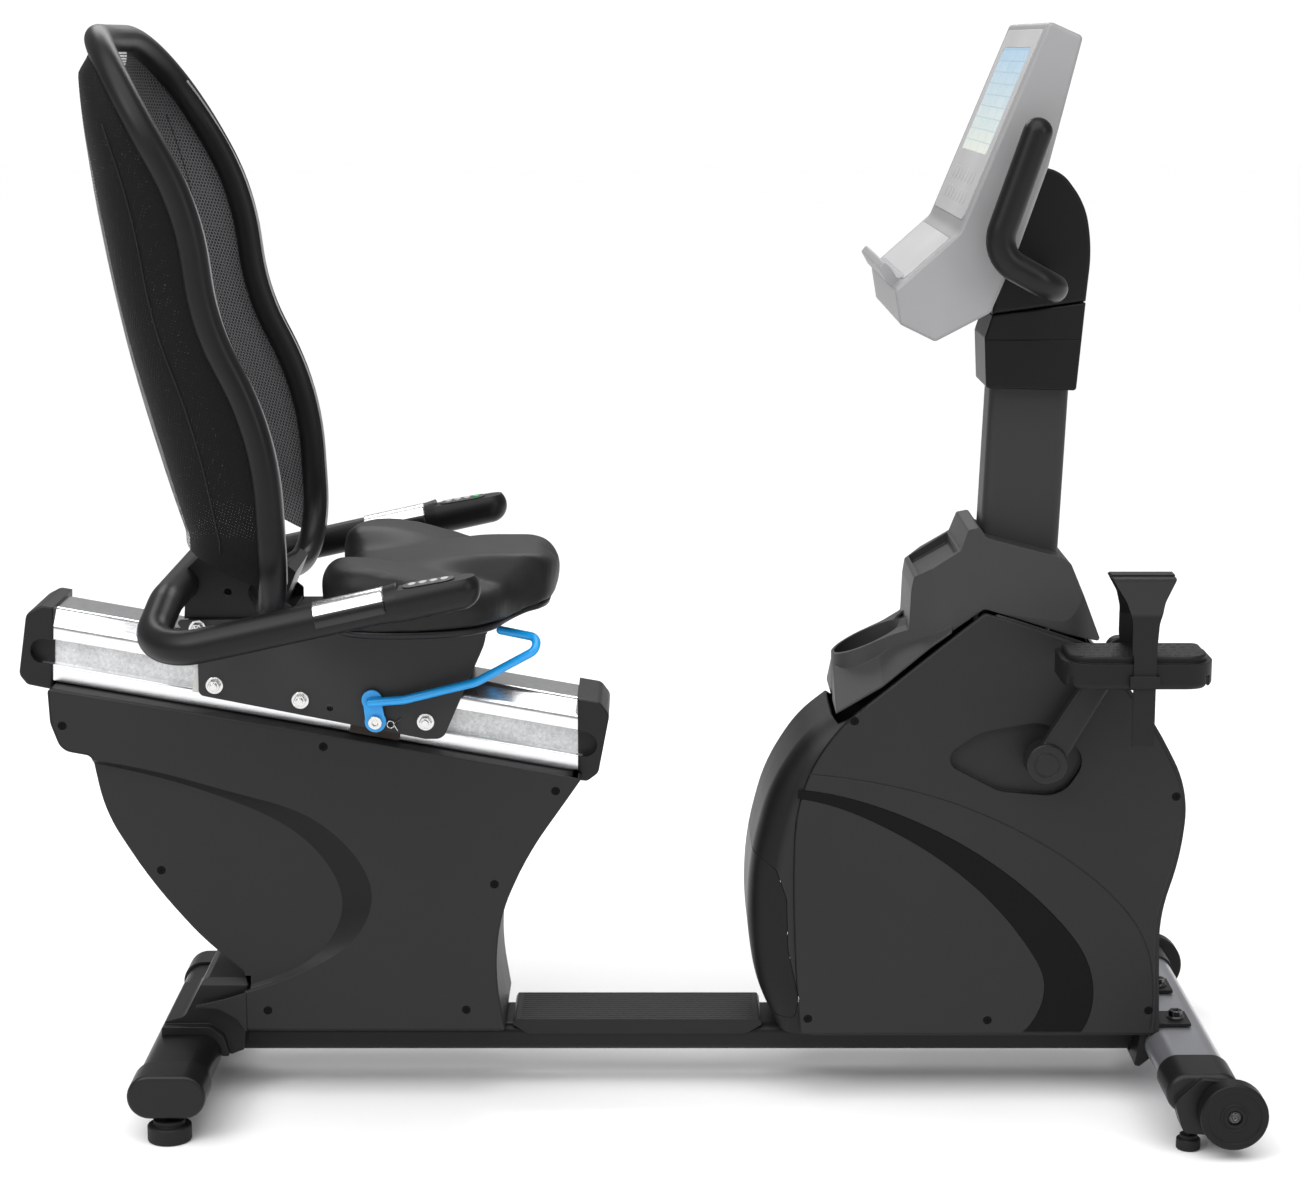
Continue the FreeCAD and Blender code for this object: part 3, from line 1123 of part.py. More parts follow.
def rail_end_caps():
    """Moulded caps that slip over both rail ends, each with its channel mouth left open."""
    shroud_top = prism_y(REAR_OUTLINE, REAR_RADII, -REAR_SHROUD_HALF - 1, REAR_SHROUD_HALF + 1)
    rail_room = rail_section(0.2, RAIL_REAR - 0.2, RAIL_FRONT + 0.2)
    slot_half = (CHANNEL_HIGH - CHANNEL_LOW) / 2
    slot_z = (CHANNEL_HIGH + CHANNEL_LOW) / 2
    caps = []
    for profile, radii, mouth in ((REAR_CAP_SIDE, [0, 12, 14, 12, 8, 0], (-352, -320)),
                                  (FRONT_CAP_SIDE, [0, 12, 14, 12, 8, 0], (320, 346))):
        cap = prism_y(profile, radii, -CAP_HALF, CAP_HALF)
        rims = edges_in_plane_y(cap, -CAP_HALF) + edges_in_plane_y(cap, CAP_HALF)
        cap = soften(cap, rims, 3).cut(rail_room)
        slots = []
        for side in SIDES:
            ys = sorted((side * (CHANNEL_FLOOR + 2), side * (CAP_HALF + 2)))
            closed_end = mouth[0] if mouth[0] < 0 else mouth[1]
            slots.append(rod_y(closed_end, slot_z, ys[0], ys[1], slot_half))
            slots.append(box(mouth, ys, (slot_z - slot_half, slot_z + slot_half)))
        caps.append(biggest(on_rail(cut(cap, slots)).cut(shroud_top)))
    return group(caps)


PLATE_OUTLINE = [(-576, WEB_TOP), (-549, 590), (-549, 534), (-263, 477), (-240, 477), (-186, 600), (-181, WEB_TOP)]
PLATE_RADII = [4, 10, 8, 6, 14, 60, 4]
GLIDE_X = (-129.0, -19.0, 142.0)
GLIDE_Z = -10.0
FRAME_BOLT = (-556.0, 620.0)
PIVOT = (-325.0, 501.0)


def carriage_frame():
    """Folded steel carriage: two side plates joined by a top web."""
    plate = prism_y(PLATE_OUTLINE, PLATE_RADII, -PLATE_OUT, -PLATE_IN)
    web = box((-560, -184), (-PLATE_OUT, PLATE_OUT), (WEB_TOP - 4, WEB_TOP))
    front_fold = box((-188, -184), (-60, 60), (WEB_TOP - 22, WEB_TOP - 2))
    tools = []
    for x in GLIDE_X:
        at = rail_point(x, GLIDE_Z)
        tools.append(rod_y(at[0], at[1], -90, 90, 5.2))
    tools.append(rod_y(FRAME_BOLT[0] + 8, FRAME_BOLT[1], -90, 90, 5.2))
    tools.append(rod_y(PIVOT[0], PIVOT[1], -90, -70, 6.2))
    tools.append(rod_y(-383, 517, -90, -70, 4))
    return cut(fuse([plate, mirrored(plate), web, front_fold]), tools)


def carriage_glides():
    """Nylon shoes that run in the rail's side channels."""
    shoes = []
    for x in GLIDE_X:
        shoe = box((x - 27, x + 27), (-PLATE_IN, -CHANNEL_FLOOR - GAP), (CHANNEL_LOW + GAP, CHANNEL_HIGH - GAP))
        shoe = shoe.cut(rod(V(x, -100, GLIDE_Z), V(x, -60, GLIDE_Z), 5.2))
        shoe = on_rail(shoe)
        shoes += [shoe, mirrored(shoe)]
    return group(shoes)


def carriage_bolts():
    bolts = []
    for side in SIDES:
        out = V(0, side, 0)
        for x in GLIDE_X:
            at = rail_point(x, GLIDE_Z)
            bolts.append(washer_bolt(V(at[0], side * PLATE_OUT, at[1]), out, 5.0, 16))
        bolts.append(washer_bolt(V(FRAME_BOLT[0] + 8, side * PLATE_OUT, FRAME_BOLT[1]), out, 5.0, 12))
    pivot_head = rod_y(PIVOT[0], PIVOT[1], -94, -88.4, 8.5)
    pivot_socket = rod_y(PIVOT[0], PIVOT[1], -95, -91, 4)
    pivot_pin = rod_y(PIVOT[0], PIVOT[1], -89, -73, 6.0)
    bolts.append(pivot_head.fuse(pivot_pin).cut(pivot_socket))
    return group(bolts)


def washer_bolt(at, axis, shank_r, shank):
    washer = Part.makeCylinder(11, 1.8)
    nut = hexagon(8, 7).translated(V(0, 0, 1.8))
    dome = Part.makeCylinder(4.6, 4, V(0, 0, 8.0))
    stem = Part.makeCylinder(shank_r, shank, V(0, 0, -shank))
    bolt = fuse([washer, nut, dome, stem])
    bolt.Placement = FreeCAD.Placement(at, FreeCAD.Rotation(V(0, 0, 1), axis))
    return bolt


def seat_lever():
    """Two-lobed plate on the pivot with a bent rod handle that the rider presses down."""
    plate_y = (-87.8, -82.8)
    upper = (-329, 529)
    lower_lobe = rod_y(PIVOT[0], PIVOT[1], plate_y[0], plate_y[1], 13.5)
    upper_lobe = rod_y(upper[0], upper[1], plate_y[0], plate_y[1], 13)
    bridge = prism_y([(PIVOT[0] - 12.5, PIVOT[1]), (PIVOT[0] + 12.5, PIVOT[1]), (upper[0] + 11.5, upper[1]),
                      (upper[0] - 11.5, upper[1])], 0, plate_y[0], plate_y[1])
    path = [V(upper[0] - 2, -91.5, upper[1] - 2), V(-288, -94, 531), V(-196, -104, 556), V(-98, -112, 611),
            V(-166, -70, 616)]
    handle = sweep(path, [0, 30, 50, 13, 0], 5.5)
    pin_bore = rod_y(PIVOT[0], PIVOT[1], -100, -60, 6.0 + 0.05)
    end = ball(path[0], 5.5)
    tip = ball(path[-1], 5.5)
    head_room = rod_y(PIVOT[0], PIVOT[1], -120, plate_y[0], 9.2)
    return cut(fuse([lower_lobe, upper_lobe, bridge, handle, end, tip]), [pin_bore, head_room])


def brake_shoe():
    """Friction shoe that the lever draws away from the rail's lower flange."""
    shoe = box((48, 112), (-RAIL_HALF - GAP - 9, -RAIL_HALF - GAP), (-43, CHANNEL_LOW - 2))
    return on_rail(shoe)


CUSHION_PLAN = [(-386, -60), (-392, -150), (-372, -222), (-300, -232), (-215, -222), (-160, -150), (-128, -94),
                (-86, -78)]


def seat_cushion():
    """Saddle-shaped pad, wide at the rear with a narrow nose."""
    plan = CUSHION_PLAN + [(x, -y) for x, y in reversed(CUSHION_PLAN)]
    radii = [40, 60, 50, 60, 60, 70, 60, 22]
    bottom = WEB_TOP + GAP
    body = prism_z(plan, radii + radii[::-1], bottom, 720)
    profile = prism_y([(-396, bottom), (-396, 708), (-368, 712), (-200, 708), (-120, 715), (-92, 708), (-84, 690),
                       (-84, 650), (-140, bottom + 2), (-180, bottom)],
                      [6, 12, 30, 60, 24, 12, 10, 14, 40, 0], -260, 260)
    body = body.common(profile)
    dish = Part.makeCylinder(620, 600, V(-300, 0, 1306), V(-1, 0, 0.06))
    return body.cut(dish)


def handle_path():
    tip = V(-196, -ARM_HALF, 716)
    corner = V(-576, -ARM_HALF, 632)
    rise = V(-568, -190, 676)
    right = [tip, corner, rise]
    return right + [V(p.x, -p.y, p.z) for p in reversed(right)]


HANDLE_BENDS = [0, 62, 90, 90, 62, 0]


def arm_axis():
    points = handle_path()
    along = points[0] - points[1]
    along.normalize()
    return points[0], along


def seat_handlebar():
    """U-shaped bar round the back of the seat, with a control pod on each arm."""
    points = handle_path()
    outer = sweep(points, HANDLE_BENDS, ARM_R)
    tip, along = arm_axis()
    pod = rod(tip - along * 78, tip - along * 4, 24).fuse(ball(tip - along * 4, 24))
    taper = Part.makeCone(ARM_R, 24, 26, tip - along * 104, along)
    top = pad_plane(tip, along, 60)
    body = fuse([outer, taper, mirrored(taper), pod, mirrored(pod)])
    inner = sweep([points[0] - along * 90] + points[1:-1] + [mirror_point(points[0] - along * 90)], HANDLE_BENDS,
                  ARM_R - 4)
    return cut(body, [top, mirrored(top), inner])


def mirror_point(point):
    return V(point.x, -point.y, point.z)


def pad_plane(tip, along, depth):
    """Block that shaves a slanting flat on the pod for its keypad."""
    up = V(-along.z, 0, along.x)
    centre = tip - along * 36 + up * 17
    corners = [centre - along * 40 + V(0, -30, 0), centre + along * 60 + up * -4 + V(0, -30, 0),
               centre + along * 60 + up * -4 + V(0, 30, 0), centre - along * 40 + V(0, 30, 0)]
    face = Part.Face(Part.makePolygon(corners + [corners[0]]))
    return face.extrude(up * depth)


def pod_keypads():
    """Flexible membrane keypads with raised oval keys on the pods' flats."""
    tip, along = arm_axis()
    up = V(-along.z, 0, along.x)
    centre = tip - along * 36 + up * 17
    slope = (along * 100 + up * -4)
    slope.normalize()
    normal = V(-slope.z, 0, slope.x)
    start = centre - along * 34 + up * 0.25 + normal * 0.05
    corners = [start + V(0, -15, 0), start + slope * 62 + V(0, -15, 0), start + slope * 62 + V(0, 15, 0),
               start + V(0, 15, 0)]
    corners = [corner + V(0, -ARM_HALF - start.y, 0) for corner in corners]
    pad = Part.Face(corner_points(corners, 12, True)).extrude(normal * 1.2)
    keys = []
    for i in range(4):
        at = start + slope * (11 + 13 * i) + V(0, -ARM_HALF - start.y, 0) + normal * 1.0
        keys.append(Part.makeCylinder(4.6, 1.0, at, normal))
    return pair(fuse([pad] + keys))


def pulse_contacts():
    """Metal heart-rate plates wrapped over the outer half of each arm."""
    tip, along = arm_axis()
    start = tip - along * 178
    end = tip - along * 76
    sleeve = rod(start, end, ARM_R + 1.6).cut(rod(start - along, end + along, ARM_R + 0.15))
    up = V(-along.z, 0, along.x)
    centre = (start + end) * 0.5
    lower = centre - up * 6
    slab = Part.makePlane(300, 120, lower - along * 150 + V(0, -90, 0), up, along)
    upper_half = slab.extrude(up * 80)
    band = sleeve.common(upper_half)
    pod_room = Part.makeCone(ARM_R + 0.2, 24.4, 26, tip - along * 104, along)
    return pair(biggest(band.cut(pod_room).cut(rod(tip - along * 78.5, tip, 24.4))))


BRACKET_OUTLINE = [(-566, WEB_TOP), (-562, 694), (-545, 711), (-512, 712), (-431, 646), (-431, WEB_TOP)]


def back_tube_path(side):
    points = [V(-470, side * 52, 664), V(-428, side * BACK_HALF, 664), V(-438, side * BACK_HALF, 885),
              V(-505, side * BACK_HALF, 1018), V(-522, side * BACK_HALF, 1155), V(-628, side * BACK_HALF, 1352)]
    return points


BACK_BENDS = [0, 90, 380, 300, 330, 160, 420, 160, 330, 300, 380, 90, 0]


def back_path():
    right = back_tube_path(RIGHT)
    left = back_tube_path(LEFT)
    return right + [V(-655, 0, 1352)] + list(reversed(left))


def back_bracket():
    """Steel cheeks and cross plate that hold the backrest on the carriage."""
    cheek = prism_y(BRACKET_OUTLINE, [0, 12, 12, 12, 4, 0], -70, -66)
    deck = box((-560, -432), (-70, 70), (WEB_TOP, WEB_TOP + 4))
    wall = prism_y([(-452, WEB_TOP), (-448, WEB_TOP), (-424, 690), (-434, 698)], 0, -66, 66)
    tube_room = sweep(back_path(), BACK_BENDS, BACK_TUBE_R)
    bar_room = sweep(handle_path(), HANDLE_BENDS, ARM_R)
    bolt_holes = [rod_y(-510, 665, -80, 80, 5)]
    body = fuse([cheek, mirrored(cheek), deck, wall])
    return biggest(cut(body, [tube_room, bar_room] + bolt_holes))


def backrest_frame():
    return sweep(back_path(), BACK_BENDS, BACK_TUBE_R)


MESH_FRONT = [(-434, 684), (-440, 885), (-507, 1020), (-525, 1156), (-612, 1322)]
MESH_BACK = [(-670, 1322), (-654, 1160), (-640, 1078), (-612, 939), (-577, 817), (-552, 744)]
MESH_RADII = [8, FLOW, FLOW, FLOW, 4, 4, FLOW, FLOW, FLOW, FLOW, 4]
MESH_THICK = 4.0


def backrest_mesh():
    """Mesh sleeve behind the backrest tube: a back panel between two side panels, open to the front and below."""
    half = BACK_HALF - BACK_TUBE_R - 1
    outer = prism_y(MESH_FRONT + MESH_BACK, MESH_RADII, -half, half)
    room = [(x + MESH_THICK, z) for x, z in MESH_BACK]
    room = room + [(-540, 600), (-300, 600), (-300, 1400), (-666, 1400)]
    inner = prism_y(room, [0, FLOW, FLOW, FLOW, FLOW, 0, 0, 0, 0, 0], -half + MESH_THICK, half - MESH_THICK)
    tube_room = sweep(back_path(), BACK_BENDS, BACK_TUBE_R + 0.4)
    return biggest(cut(outer, [inner, tube_room]))


def main():
    os.makedirs("parts", exist_ok=True)
    export(base_spine(), "base_spine")
    export(crank_frame(), "crank_frame")
    export(seat_frame(), "seat_frame")
    export(rear_stabiliser(), "rear_stabiliser")
    export(rear_end_caps(), "rear_end_caps")
    export(rear_bracket_cover(), "rear_bracket_cover")
    export(front_stabiliser(), "front_stabiliser")
    export(front_end_caps(), "front_end_caps")
    export(front_bracket(), "front_bracket")
    export(frame_bolts(), "frame_bolts")
    export(step_plate(), "step_plate")
    rear_half = rear_shroud_right()
    export(rear_half, "rear_shroud_right")
    export(mirrored(rear_half), "rear_shroud_left")
    drive_half = drive_shroud_right()
    export(drive_half, "drive_shroud_right")
    export(mirrored(drive_half), "drive_shroud_left")
    export(shroud_screws(), "shroud_screws")
    export(inlay_panels(), "inlay_panels")
    export(access_covers(), "access_covers")
    export(drive_top_cover(), "drive_top_cover")
    export(mast_tube(), "mast_tube")
    export(neck_cover(), "neck_cover")
    export(console_housing(), "console_housing")
    export(console_fascia(), "console_fascia")
    export(console_screen(), "console_screen")
    export(handlebar(), "handlebar")
    export(crank_bearings(), "crank_bearings")
    export(generator(), "generator")
    export(generator_rotor(), "generator_rotor")
    export(drive_belt(), "drive_belt")
    export(controller_board(), "controller_board")
    export(battery(), "battery")
    export(seat_rail(), "seat_rail")
    export(rail_end_caps(), "rail_end_caps")
    export(crank_axle(), "crank_axle")
    export(drive_pulley(), "drive_pulley")
    export(idler_pulley(), "idler_pulley")
    export(group([crank_arm(side) for side in SIDES]), "crank_arms")
    export(pedal_spindles(), "pedal_spindles")
    for side, word in ((RIGHT, "right"), (LEFT, "left")):
        export(pedal(side), "pedal_" + word)
        export(pedal_strap(side), "pedal_strap_" + word)
        export(transport_wheel(side), "wheel_" + word)
        export(levelling_foot(REAR_X, side * REAR_FOOT_Y, 33.5, 27.5, REAR_Z + 6), "rear_foot_" + word)
        export(levelling_foot(FRONT_FOOT_X, side * FRONT_FOOT_Y, 23, 15, 62), "front_foot_" + word)
    export(carriage_frame(), "carriage_frame")
    export(carriage_glides(), "carriage_glides")
    export(carriage_bolts(), "carriage_bolts")
    export(seat_lever(), "seat_lever")
    export(brake_shoe(), "brake_shoe")
    export(seat_cushion(), "seat_cushion")
    export(back_bracket(), "back_bracket")
    export(backrest_frame(), "backrest_frame")
    export(backrest_mesh(), "backrest_mesh")
    export(seat_handlebar(), "seat_handlebar")
    export(pod_keypads(), "pod_keypads")
    export(pulse_contacts(), "pulse_contacts")


main()
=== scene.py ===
# %% [markdown]
# # A recumbent exercise bike, dressed for the camera
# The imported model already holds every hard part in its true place. This notebook gives each part its finish,
# swaps the plain cushion and back sleeve for soft ones, and adds the small things a maker would notice.
# Everything is in metres: +X points forward to the console, +Z is up, and the rider's right is -Y.

# %% Load the frame
import bpy
import json
import math
import numpy as np
from mathutils import Matrix, Vector
from mathutils.bvhtree import BVHTree


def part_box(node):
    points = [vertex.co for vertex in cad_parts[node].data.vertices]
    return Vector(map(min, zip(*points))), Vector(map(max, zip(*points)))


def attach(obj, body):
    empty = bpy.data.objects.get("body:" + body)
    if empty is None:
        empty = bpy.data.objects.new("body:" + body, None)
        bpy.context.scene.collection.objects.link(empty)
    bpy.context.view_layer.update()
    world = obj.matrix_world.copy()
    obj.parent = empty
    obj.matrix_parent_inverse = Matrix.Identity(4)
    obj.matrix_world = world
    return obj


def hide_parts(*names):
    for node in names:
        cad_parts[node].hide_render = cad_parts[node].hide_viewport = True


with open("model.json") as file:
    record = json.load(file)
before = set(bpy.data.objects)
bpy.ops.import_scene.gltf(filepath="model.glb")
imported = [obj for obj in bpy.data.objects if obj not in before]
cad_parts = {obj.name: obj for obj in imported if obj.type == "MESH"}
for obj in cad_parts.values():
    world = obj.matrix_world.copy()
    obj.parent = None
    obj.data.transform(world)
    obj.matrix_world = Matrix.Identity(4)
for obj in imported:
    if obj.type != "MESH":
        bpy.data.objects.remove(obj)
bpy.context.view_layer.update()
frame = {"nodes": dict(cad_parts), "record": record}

# %% [markdown]
# ## Camera, light and floor
# A product of this kind is shown almost from the side, by a long lens a little above seat height. Big soft
# lamps over a white floor give the wide highlights that describe black tubes. The world is dim where it lights
# the bike, so the dark covers stay deep, and white where it is seen, like paper far behind.

# %% Camera
CAMERA_AT = Vector((0.023, -3.640, 1.343))
CAMERA_PITCH = math.radians(90.0 - 10.73)
LENS_MM = 79.7

camera_data = bpy.data.cameras.new("camera")
camera_data.lens = LENS_MM
camera_data.sensor_width = 36.0
camera = bpy.data.objects.new("camera", camera_data)
camera.location = CAMERA_AT
camera.rotation_euler = (CAMERA_PITCH, 0.0, 0.0)
bpy.context.collection.objects.link(camera)
bpy.context.scene.camera = camera
bpy.context.scene.view_settings.view_transform = "Standard"


# %% Lamps and world
def soft_lamp(name, at, aim, size, power):
    """A square area lamp that looks at a point."""
    data = bpy.data.lights.new(name, "AREA")
    data.shape = "RECTANGLE"
    data.size, data.size_y = size
    data.energy = power
    lamp = bpy.data.objects.new(name, data)
    lamp.location = at
    lamp.rotation_euler = (Vector(aim) - Vector(at)).to_track_quat("-Z", "Y").to_euler()
    bpy.context.collection.objects.link(lamp)
    return lamp


soft_lamp("front_left", (-2.4, -2.6, 2.9), (-0.3, 0.0, 0.8), (1.6, 1.2), 34.0)
soft_lamp("front_right", (2.6, -2.4, 2.2), (0.4, 0.0, 0.7), (0.9, 1.8), 20.0)
soft_lamp("rim", (-0.2, 2.6, 3.0), (0.0, 0.0, 0.8), (3.2, 0.9), 55.0)

sky = bpy.data.lights.new("sky_panel", "SUN")
sky.energy = 3.1
sky.angle = math.radians(75.0)
sky_lamp = bpy.data.objects.new("sky_panel", sky)
sky_lamp.rotation_euler = (math.radians(24.0), math.radians(-10.0), 0.0)
bpy.context.collection.objects.link(sky_lamp)

world = bpy.data.worlds.new("studio")
world.use_nodes = True
fill = world.node_tree.nodes["Background"]
fill.inputs["Color"].default_value = (1.0, 1.0, 1.0, 1.0)
fill.inputs["Strength"].default_value = 0.30
paper = world.node_tree.nodes.new("ShaderNodeBackground")
paper.inputs["Color"].default_value = (1.0, 1.0, 1.0, 1.0)
paper.inputs["Strength"].default_value = 1.05
rays = world.node_tree.nodes.new("ShaderNodeLightPath")
choose = world.node_tree.nodes.new("ShaderNodeMixShader")
world.node_tree.links.new(rays.outputs["Is Camera Ray"], choose.inputs["Fac"])
world.node_tree.links.new(fill.outputs[0], choose.inputs[1])
world.node_tree.links.new(paper.outputs[0], choose.inputs[2])
world.node_tree.links.new(choose.outputs[0], world.node_tree.nodes["World Output"].inputs["Surface"])
bpy.context.scene.world = world


# %% [markdown]
# ## Helpers for nodes
# Materials are built from a few short helpers, so that each finish below reads as a list of what it is made of.
# An effect used by several finishes is one node group with named sockets.

# %% Node helpers
def link(tree, out_socket, in_socket):
    tree.links.new(out_socket, in_socket)


def node(tree, kind, **values):
    """Adds a node and sets its properties and its sockets by name."""
    made = tree.nodes.new(kind)
    for key, value in values.items():
        if hasattr(made, key):
            setattr(made, key, value)
        else:
            made.inputs[key.replace("_", " ")].default_value = value
    return made


def math_node(tree, operation, a, b=None, c=None):
    made = tree.nodes.new("ShaderNodeMath")
    made.operation = operation
    for i, value in enumerate((a, b, c)):
        if value is None:
            continue
        if isinstance(value, (int, float)):
            made.inputs[i].default_value = value
        else:
            link(tree, value, made.inputs[i])
    return made.outputs[0]


def new_group(name, inputs, outputs):
    """A shader node group whose sockets are (name, type, default) rows."""
    group = bpy.data.node_groups.new(name, "ShaderNodeTree")
    for label, kind, default in inputs:
        socket = group.interface.new_socket(label, in_out="INPUT", socket_type=kind)
        socket.default_value = default
    for label, kind in outputs:
        group.interface.new_socket(label, in_out="OUTPUT", socket_type=kind)
    start = group.nodes.new("NodeGroupInput")
    end = group.nodes.new("NodeGroupOutput")
    return group, start, end


def place_group(tree, group, **values):
    made = tree.nodes.new("ShaderNodeGroup")
    made.node_tree = group
    for key, value in values.items():
        made.inputs[key.replace("_", " ")].default_value = value
    return made


# %% [markdown]
# ## Shared effects
# *Moulded grain* is the fine spark-eroded texture of plastic covers and powder coat. *Handling* is the slow
# change of gloss where hands and cloths have been. *Worn edge* finds convex edges by comparing the true normal
# with a slightly rounded one. *Drawn metal* is the fine lengthwise scratching of extrusions and ground steel.

# %% Moulded grain
FLOAT = "NodeSocketFloat"

grain_group, start, end = new_group(
    "moulded_grain", [("Scale", FLOAT, 900.0), ("Roughness Spread", FLOAT, 0.05), ("Base Roughness", FLOAT, 0.5)],
    [("Height", FLOAT), ("Roughness", FLOAT), ("Tone", FLOAT)])
where = node(grain_group, "ShaderNodeTexCoord").outputs["Object"]
fine = node(grain_group, "ShaderNodeTexNoise", Detail=3.0, Roughness=0.6)
link(grain_group, where, fine.inputs["Vector"])
link(grain_group, start.outputs["Scale"], fine.inputs["Scale"])
slow = node(grain_group, "ShaderNodeTexNoise", Scale=5.0, Detail=4.0)
link(grain_group, where, slow.inputs["Vector"])
link(grain_group, fine.outputs["Fac"], end.inputs["Height"])
centred = math_node(grain_group, "SUBTRACT", slow.outputs["Fac"], 0.5)
spread = math_node(grain_group, "MULTIPLY", centred, start.outputs["Roughness Spread"])
spread = math_node(grain_group, "MULTIPLY", spread, 4.0)
link(grain_group, math_node(grain_group, "ADD", spread, start.outputs["Base Roughness"]), end.inputs["Roughness"])
speck = math_node(grain_group, "MULTIPLY_ADD", fine.outputs["Fac"], 0.6, slow.outputs["Fac"])
link(grain_group, speck, end.inputs["Tone"])

# %% Worn edge
wear_group, start, end = new_group("worn_edge", [("Width", FLOAT, 0.0015), ("Amount", FLOAT, 0.5)], [("Mask", FLOAT)])
rounded = node(wear_group, "ShaderNodeBevel", samples=4)
link(wear_group, start.outputs["Width"], rounded.inputs["Radius"])
true_normal = node(wear_group, "ShaderNodeNewGeometry").outputs["Normal"]
match = node(wear_group, "ShaderNodeVectorMath", operation="DOT_PRODUCT")
link(wear_group, rounded.outputs["Normal"], match.inputs[0])
link(wear_group, true_normal, match.inputs[1])
off = math_node(wear_group, "SUBTRACT", 1.0, match.outputs["Value"])
patchy = node(wear_group, "ShaderNodeTexNoise", Scale=40.0, Detail=4.0)
link(wear_group, node(wear_group, "ShaderNodeTexCoord").outputs["Object"], patchy.inputs["Vector"])
mask = math_node(wear_group, "MULTIPLY", off, math_node(wear_group, "MULTIPLY", patchy.outputs["Fac"], 14.0))
mask = math_node(wear_group, "MULTIPLY", mask, start.outputs["Amount"])
clamped = node(wear_group, "ShaderNodeClamp")
link(wear_group, mask, clamped.inputs["Value"])
link(wear_group, clamped.outputs[0], end.inputs["Mask"])

# %% Drawn metal
drawn_group, start, end = new_group(
    "drawn_metal", [("Along X", FLOAT, 6.0), ("Across", FLOAT, 900.0), ("Base Roughness", FLOAT, 0.3)],
    [("Height", FLOAT), ("Roughness", FLOAT), ("Tone", FLOAT)])
stretch = node(drawn_group, "ShaderNodeCombineXYZ")
link(drawn_group, start.outputs["Along X"], stretch.inputs["X"])
link(drawn_group, start.outputs["Across"], stretch.inputs["Y"])
link(drawn_group, start.outputs["Across"], stretch.inputs["Z"])
scaled = node(drawn_group, "ShaderNodeVectorMath", operation="MULTIPLY")
link(drawn_group, node(drawn_group, "ShaderNodeTexCoord").outputs["Object"], scaled.inputs[0])
link(drawn_group, stretch.outputs[0], scaled.inputs[1])
lines = node(drawn_group, "ShaderNodeTexNoise", Scale=1.0, Detail=3.0)
link(drawn_group, scaled.outputs[0], lines.inputs["Vector"])
link(drawn_group, lines.outputs["Fac"], end.inputs["Height"])
link(drawn_group, lines.outputs["Fac"], end.inputs["Tone"])
rough = math_node(drawn_group, "MULTIPLY_ADD", lines.outputs["Fac"], 0.22, start.outputs["Base Roughness"])
link(drawn_group, math_node(drawn_group, "SUBTRACT", rough, 0.11), end.inputs["Roughness"])


# %% [markdown]
# ## Finishes
# Each finish is a Principled BSDF with its constant values set straight on the shader, and the groups above
# feeding colour, roughness and bump. The base colours are linear values, judged by tone under these lamps.
# They are not measured paint or plastic colours.

# %% Finish builder
def start_material(name, **shader_values):
    material = bpy.data.materials.new(name)
    material.use_nodes = True
    shader = material.node_tree.nodes["Principled BSDF"]
    for key, value in shader_values.items():
        shader.inputs[key.replace("_", " ")].default_value = value
    return material, material.node_tree, shader


def tinted(tree, factor, dark, light):
    """Colour between two tones, driven by a mask that changes over the surface."""
    ramp = node(tree, "ShaderNodeValToRGB")
    ramp.color_ramp.elements[0].position = 0.35
    ramp.color_ramp.elements[0].color = (*dark, 1.0)
    ramp.color_ramp.elements[1].position = 1.0
    ramp.color_ramp.elements[1].color = (*light, 1.0)
    link(tree, factor, ramp.inputs["Fac"])
    return ramp.outputs["Color"]


EDGE_EASE = 0.0016


def bumped(tree, shader, height, strength, distance):
    """Fine relief over a normal that is eased round the part's edges, as a moulded or painted edge is."""
    eased = node(tree, "ShaderNodeBevel", samples=6, Radius=EDGE_EASE)
    bump = node(tree, "ShaderNodeBump", Strength=strength, Distance=distance)
    link(tree, eased.outputs["Normal"], bump.inputs["Normal"])
    link(tree, height, bump.inputs["Height"])
    link(tree, bump.outputs["Normal"], shader.inputs["Normal"])


def grained(name, colour, roughness, scale=900.0, bump=0.12, wear=0.0, wear_colour=None, spread=0.05,
            **shader_values):
    """Moulded plastic, rubber or powder coat."""
    material, tree, shader = start_material(name, **shader_values)
    effect = place_group(tree, grain_group, Scale=scale, Base_Roughness=roughness, Roughness_Spread=spread)
    dark = tuple(0.86 * c for c in colour)
    light = tuple(1.16 * c for c in colour)
    tone = tinted(tree, effect.outputs["Tone"], dark, light)
    if wear > 0.0:
        edge = place_group(tree, wear_group, Width=0.0016, Amount=wear)
        mix = node(tree, "ShaderNodeMix", data_type="RGBA")
        link(tree, edge.outputs["Mask"], mix.inputs["Factor"])
        link(tree, tone, mix.inputs[6])
        mix.inputs[7].default_value = (*(wear_colour or tuple(3.0 * c for c in colour)), 1.0)
        tone = mix.outputs[2]
    link(tree, tone, shader.inputs["Base Color"])
    link(tree, effect.outputs["Roughness"], shader.inputs["Roughness"])
    bumped(tree, shader, effect.outputs["Height"], bump, 0.0004)
    return material


def drawn(name, colour, roughness, along=6.0, across=900.0, bump=0.05, **shader_values):
    """Metal with fine lengthwise lines."""
    material, tree, shader = start_material(name, Metallic=1.0, **shader_values)
    effect = place_group(tree, drawn_group, Base_Roughness=roughness, Along_X=along, Across=across)
    tone = tinted(tree, effect.outputs["Tone"], tuple(0.82 * c for c in colour), colour)
    link(tree, tone, shader.inputs["Base Color"])
    link(tree, effect.outputs["Roughness"], shader.inputs["Roughness"])
    bumped(tree, shader, effect.outputs["Height"], bump, 0.0002)
    return material


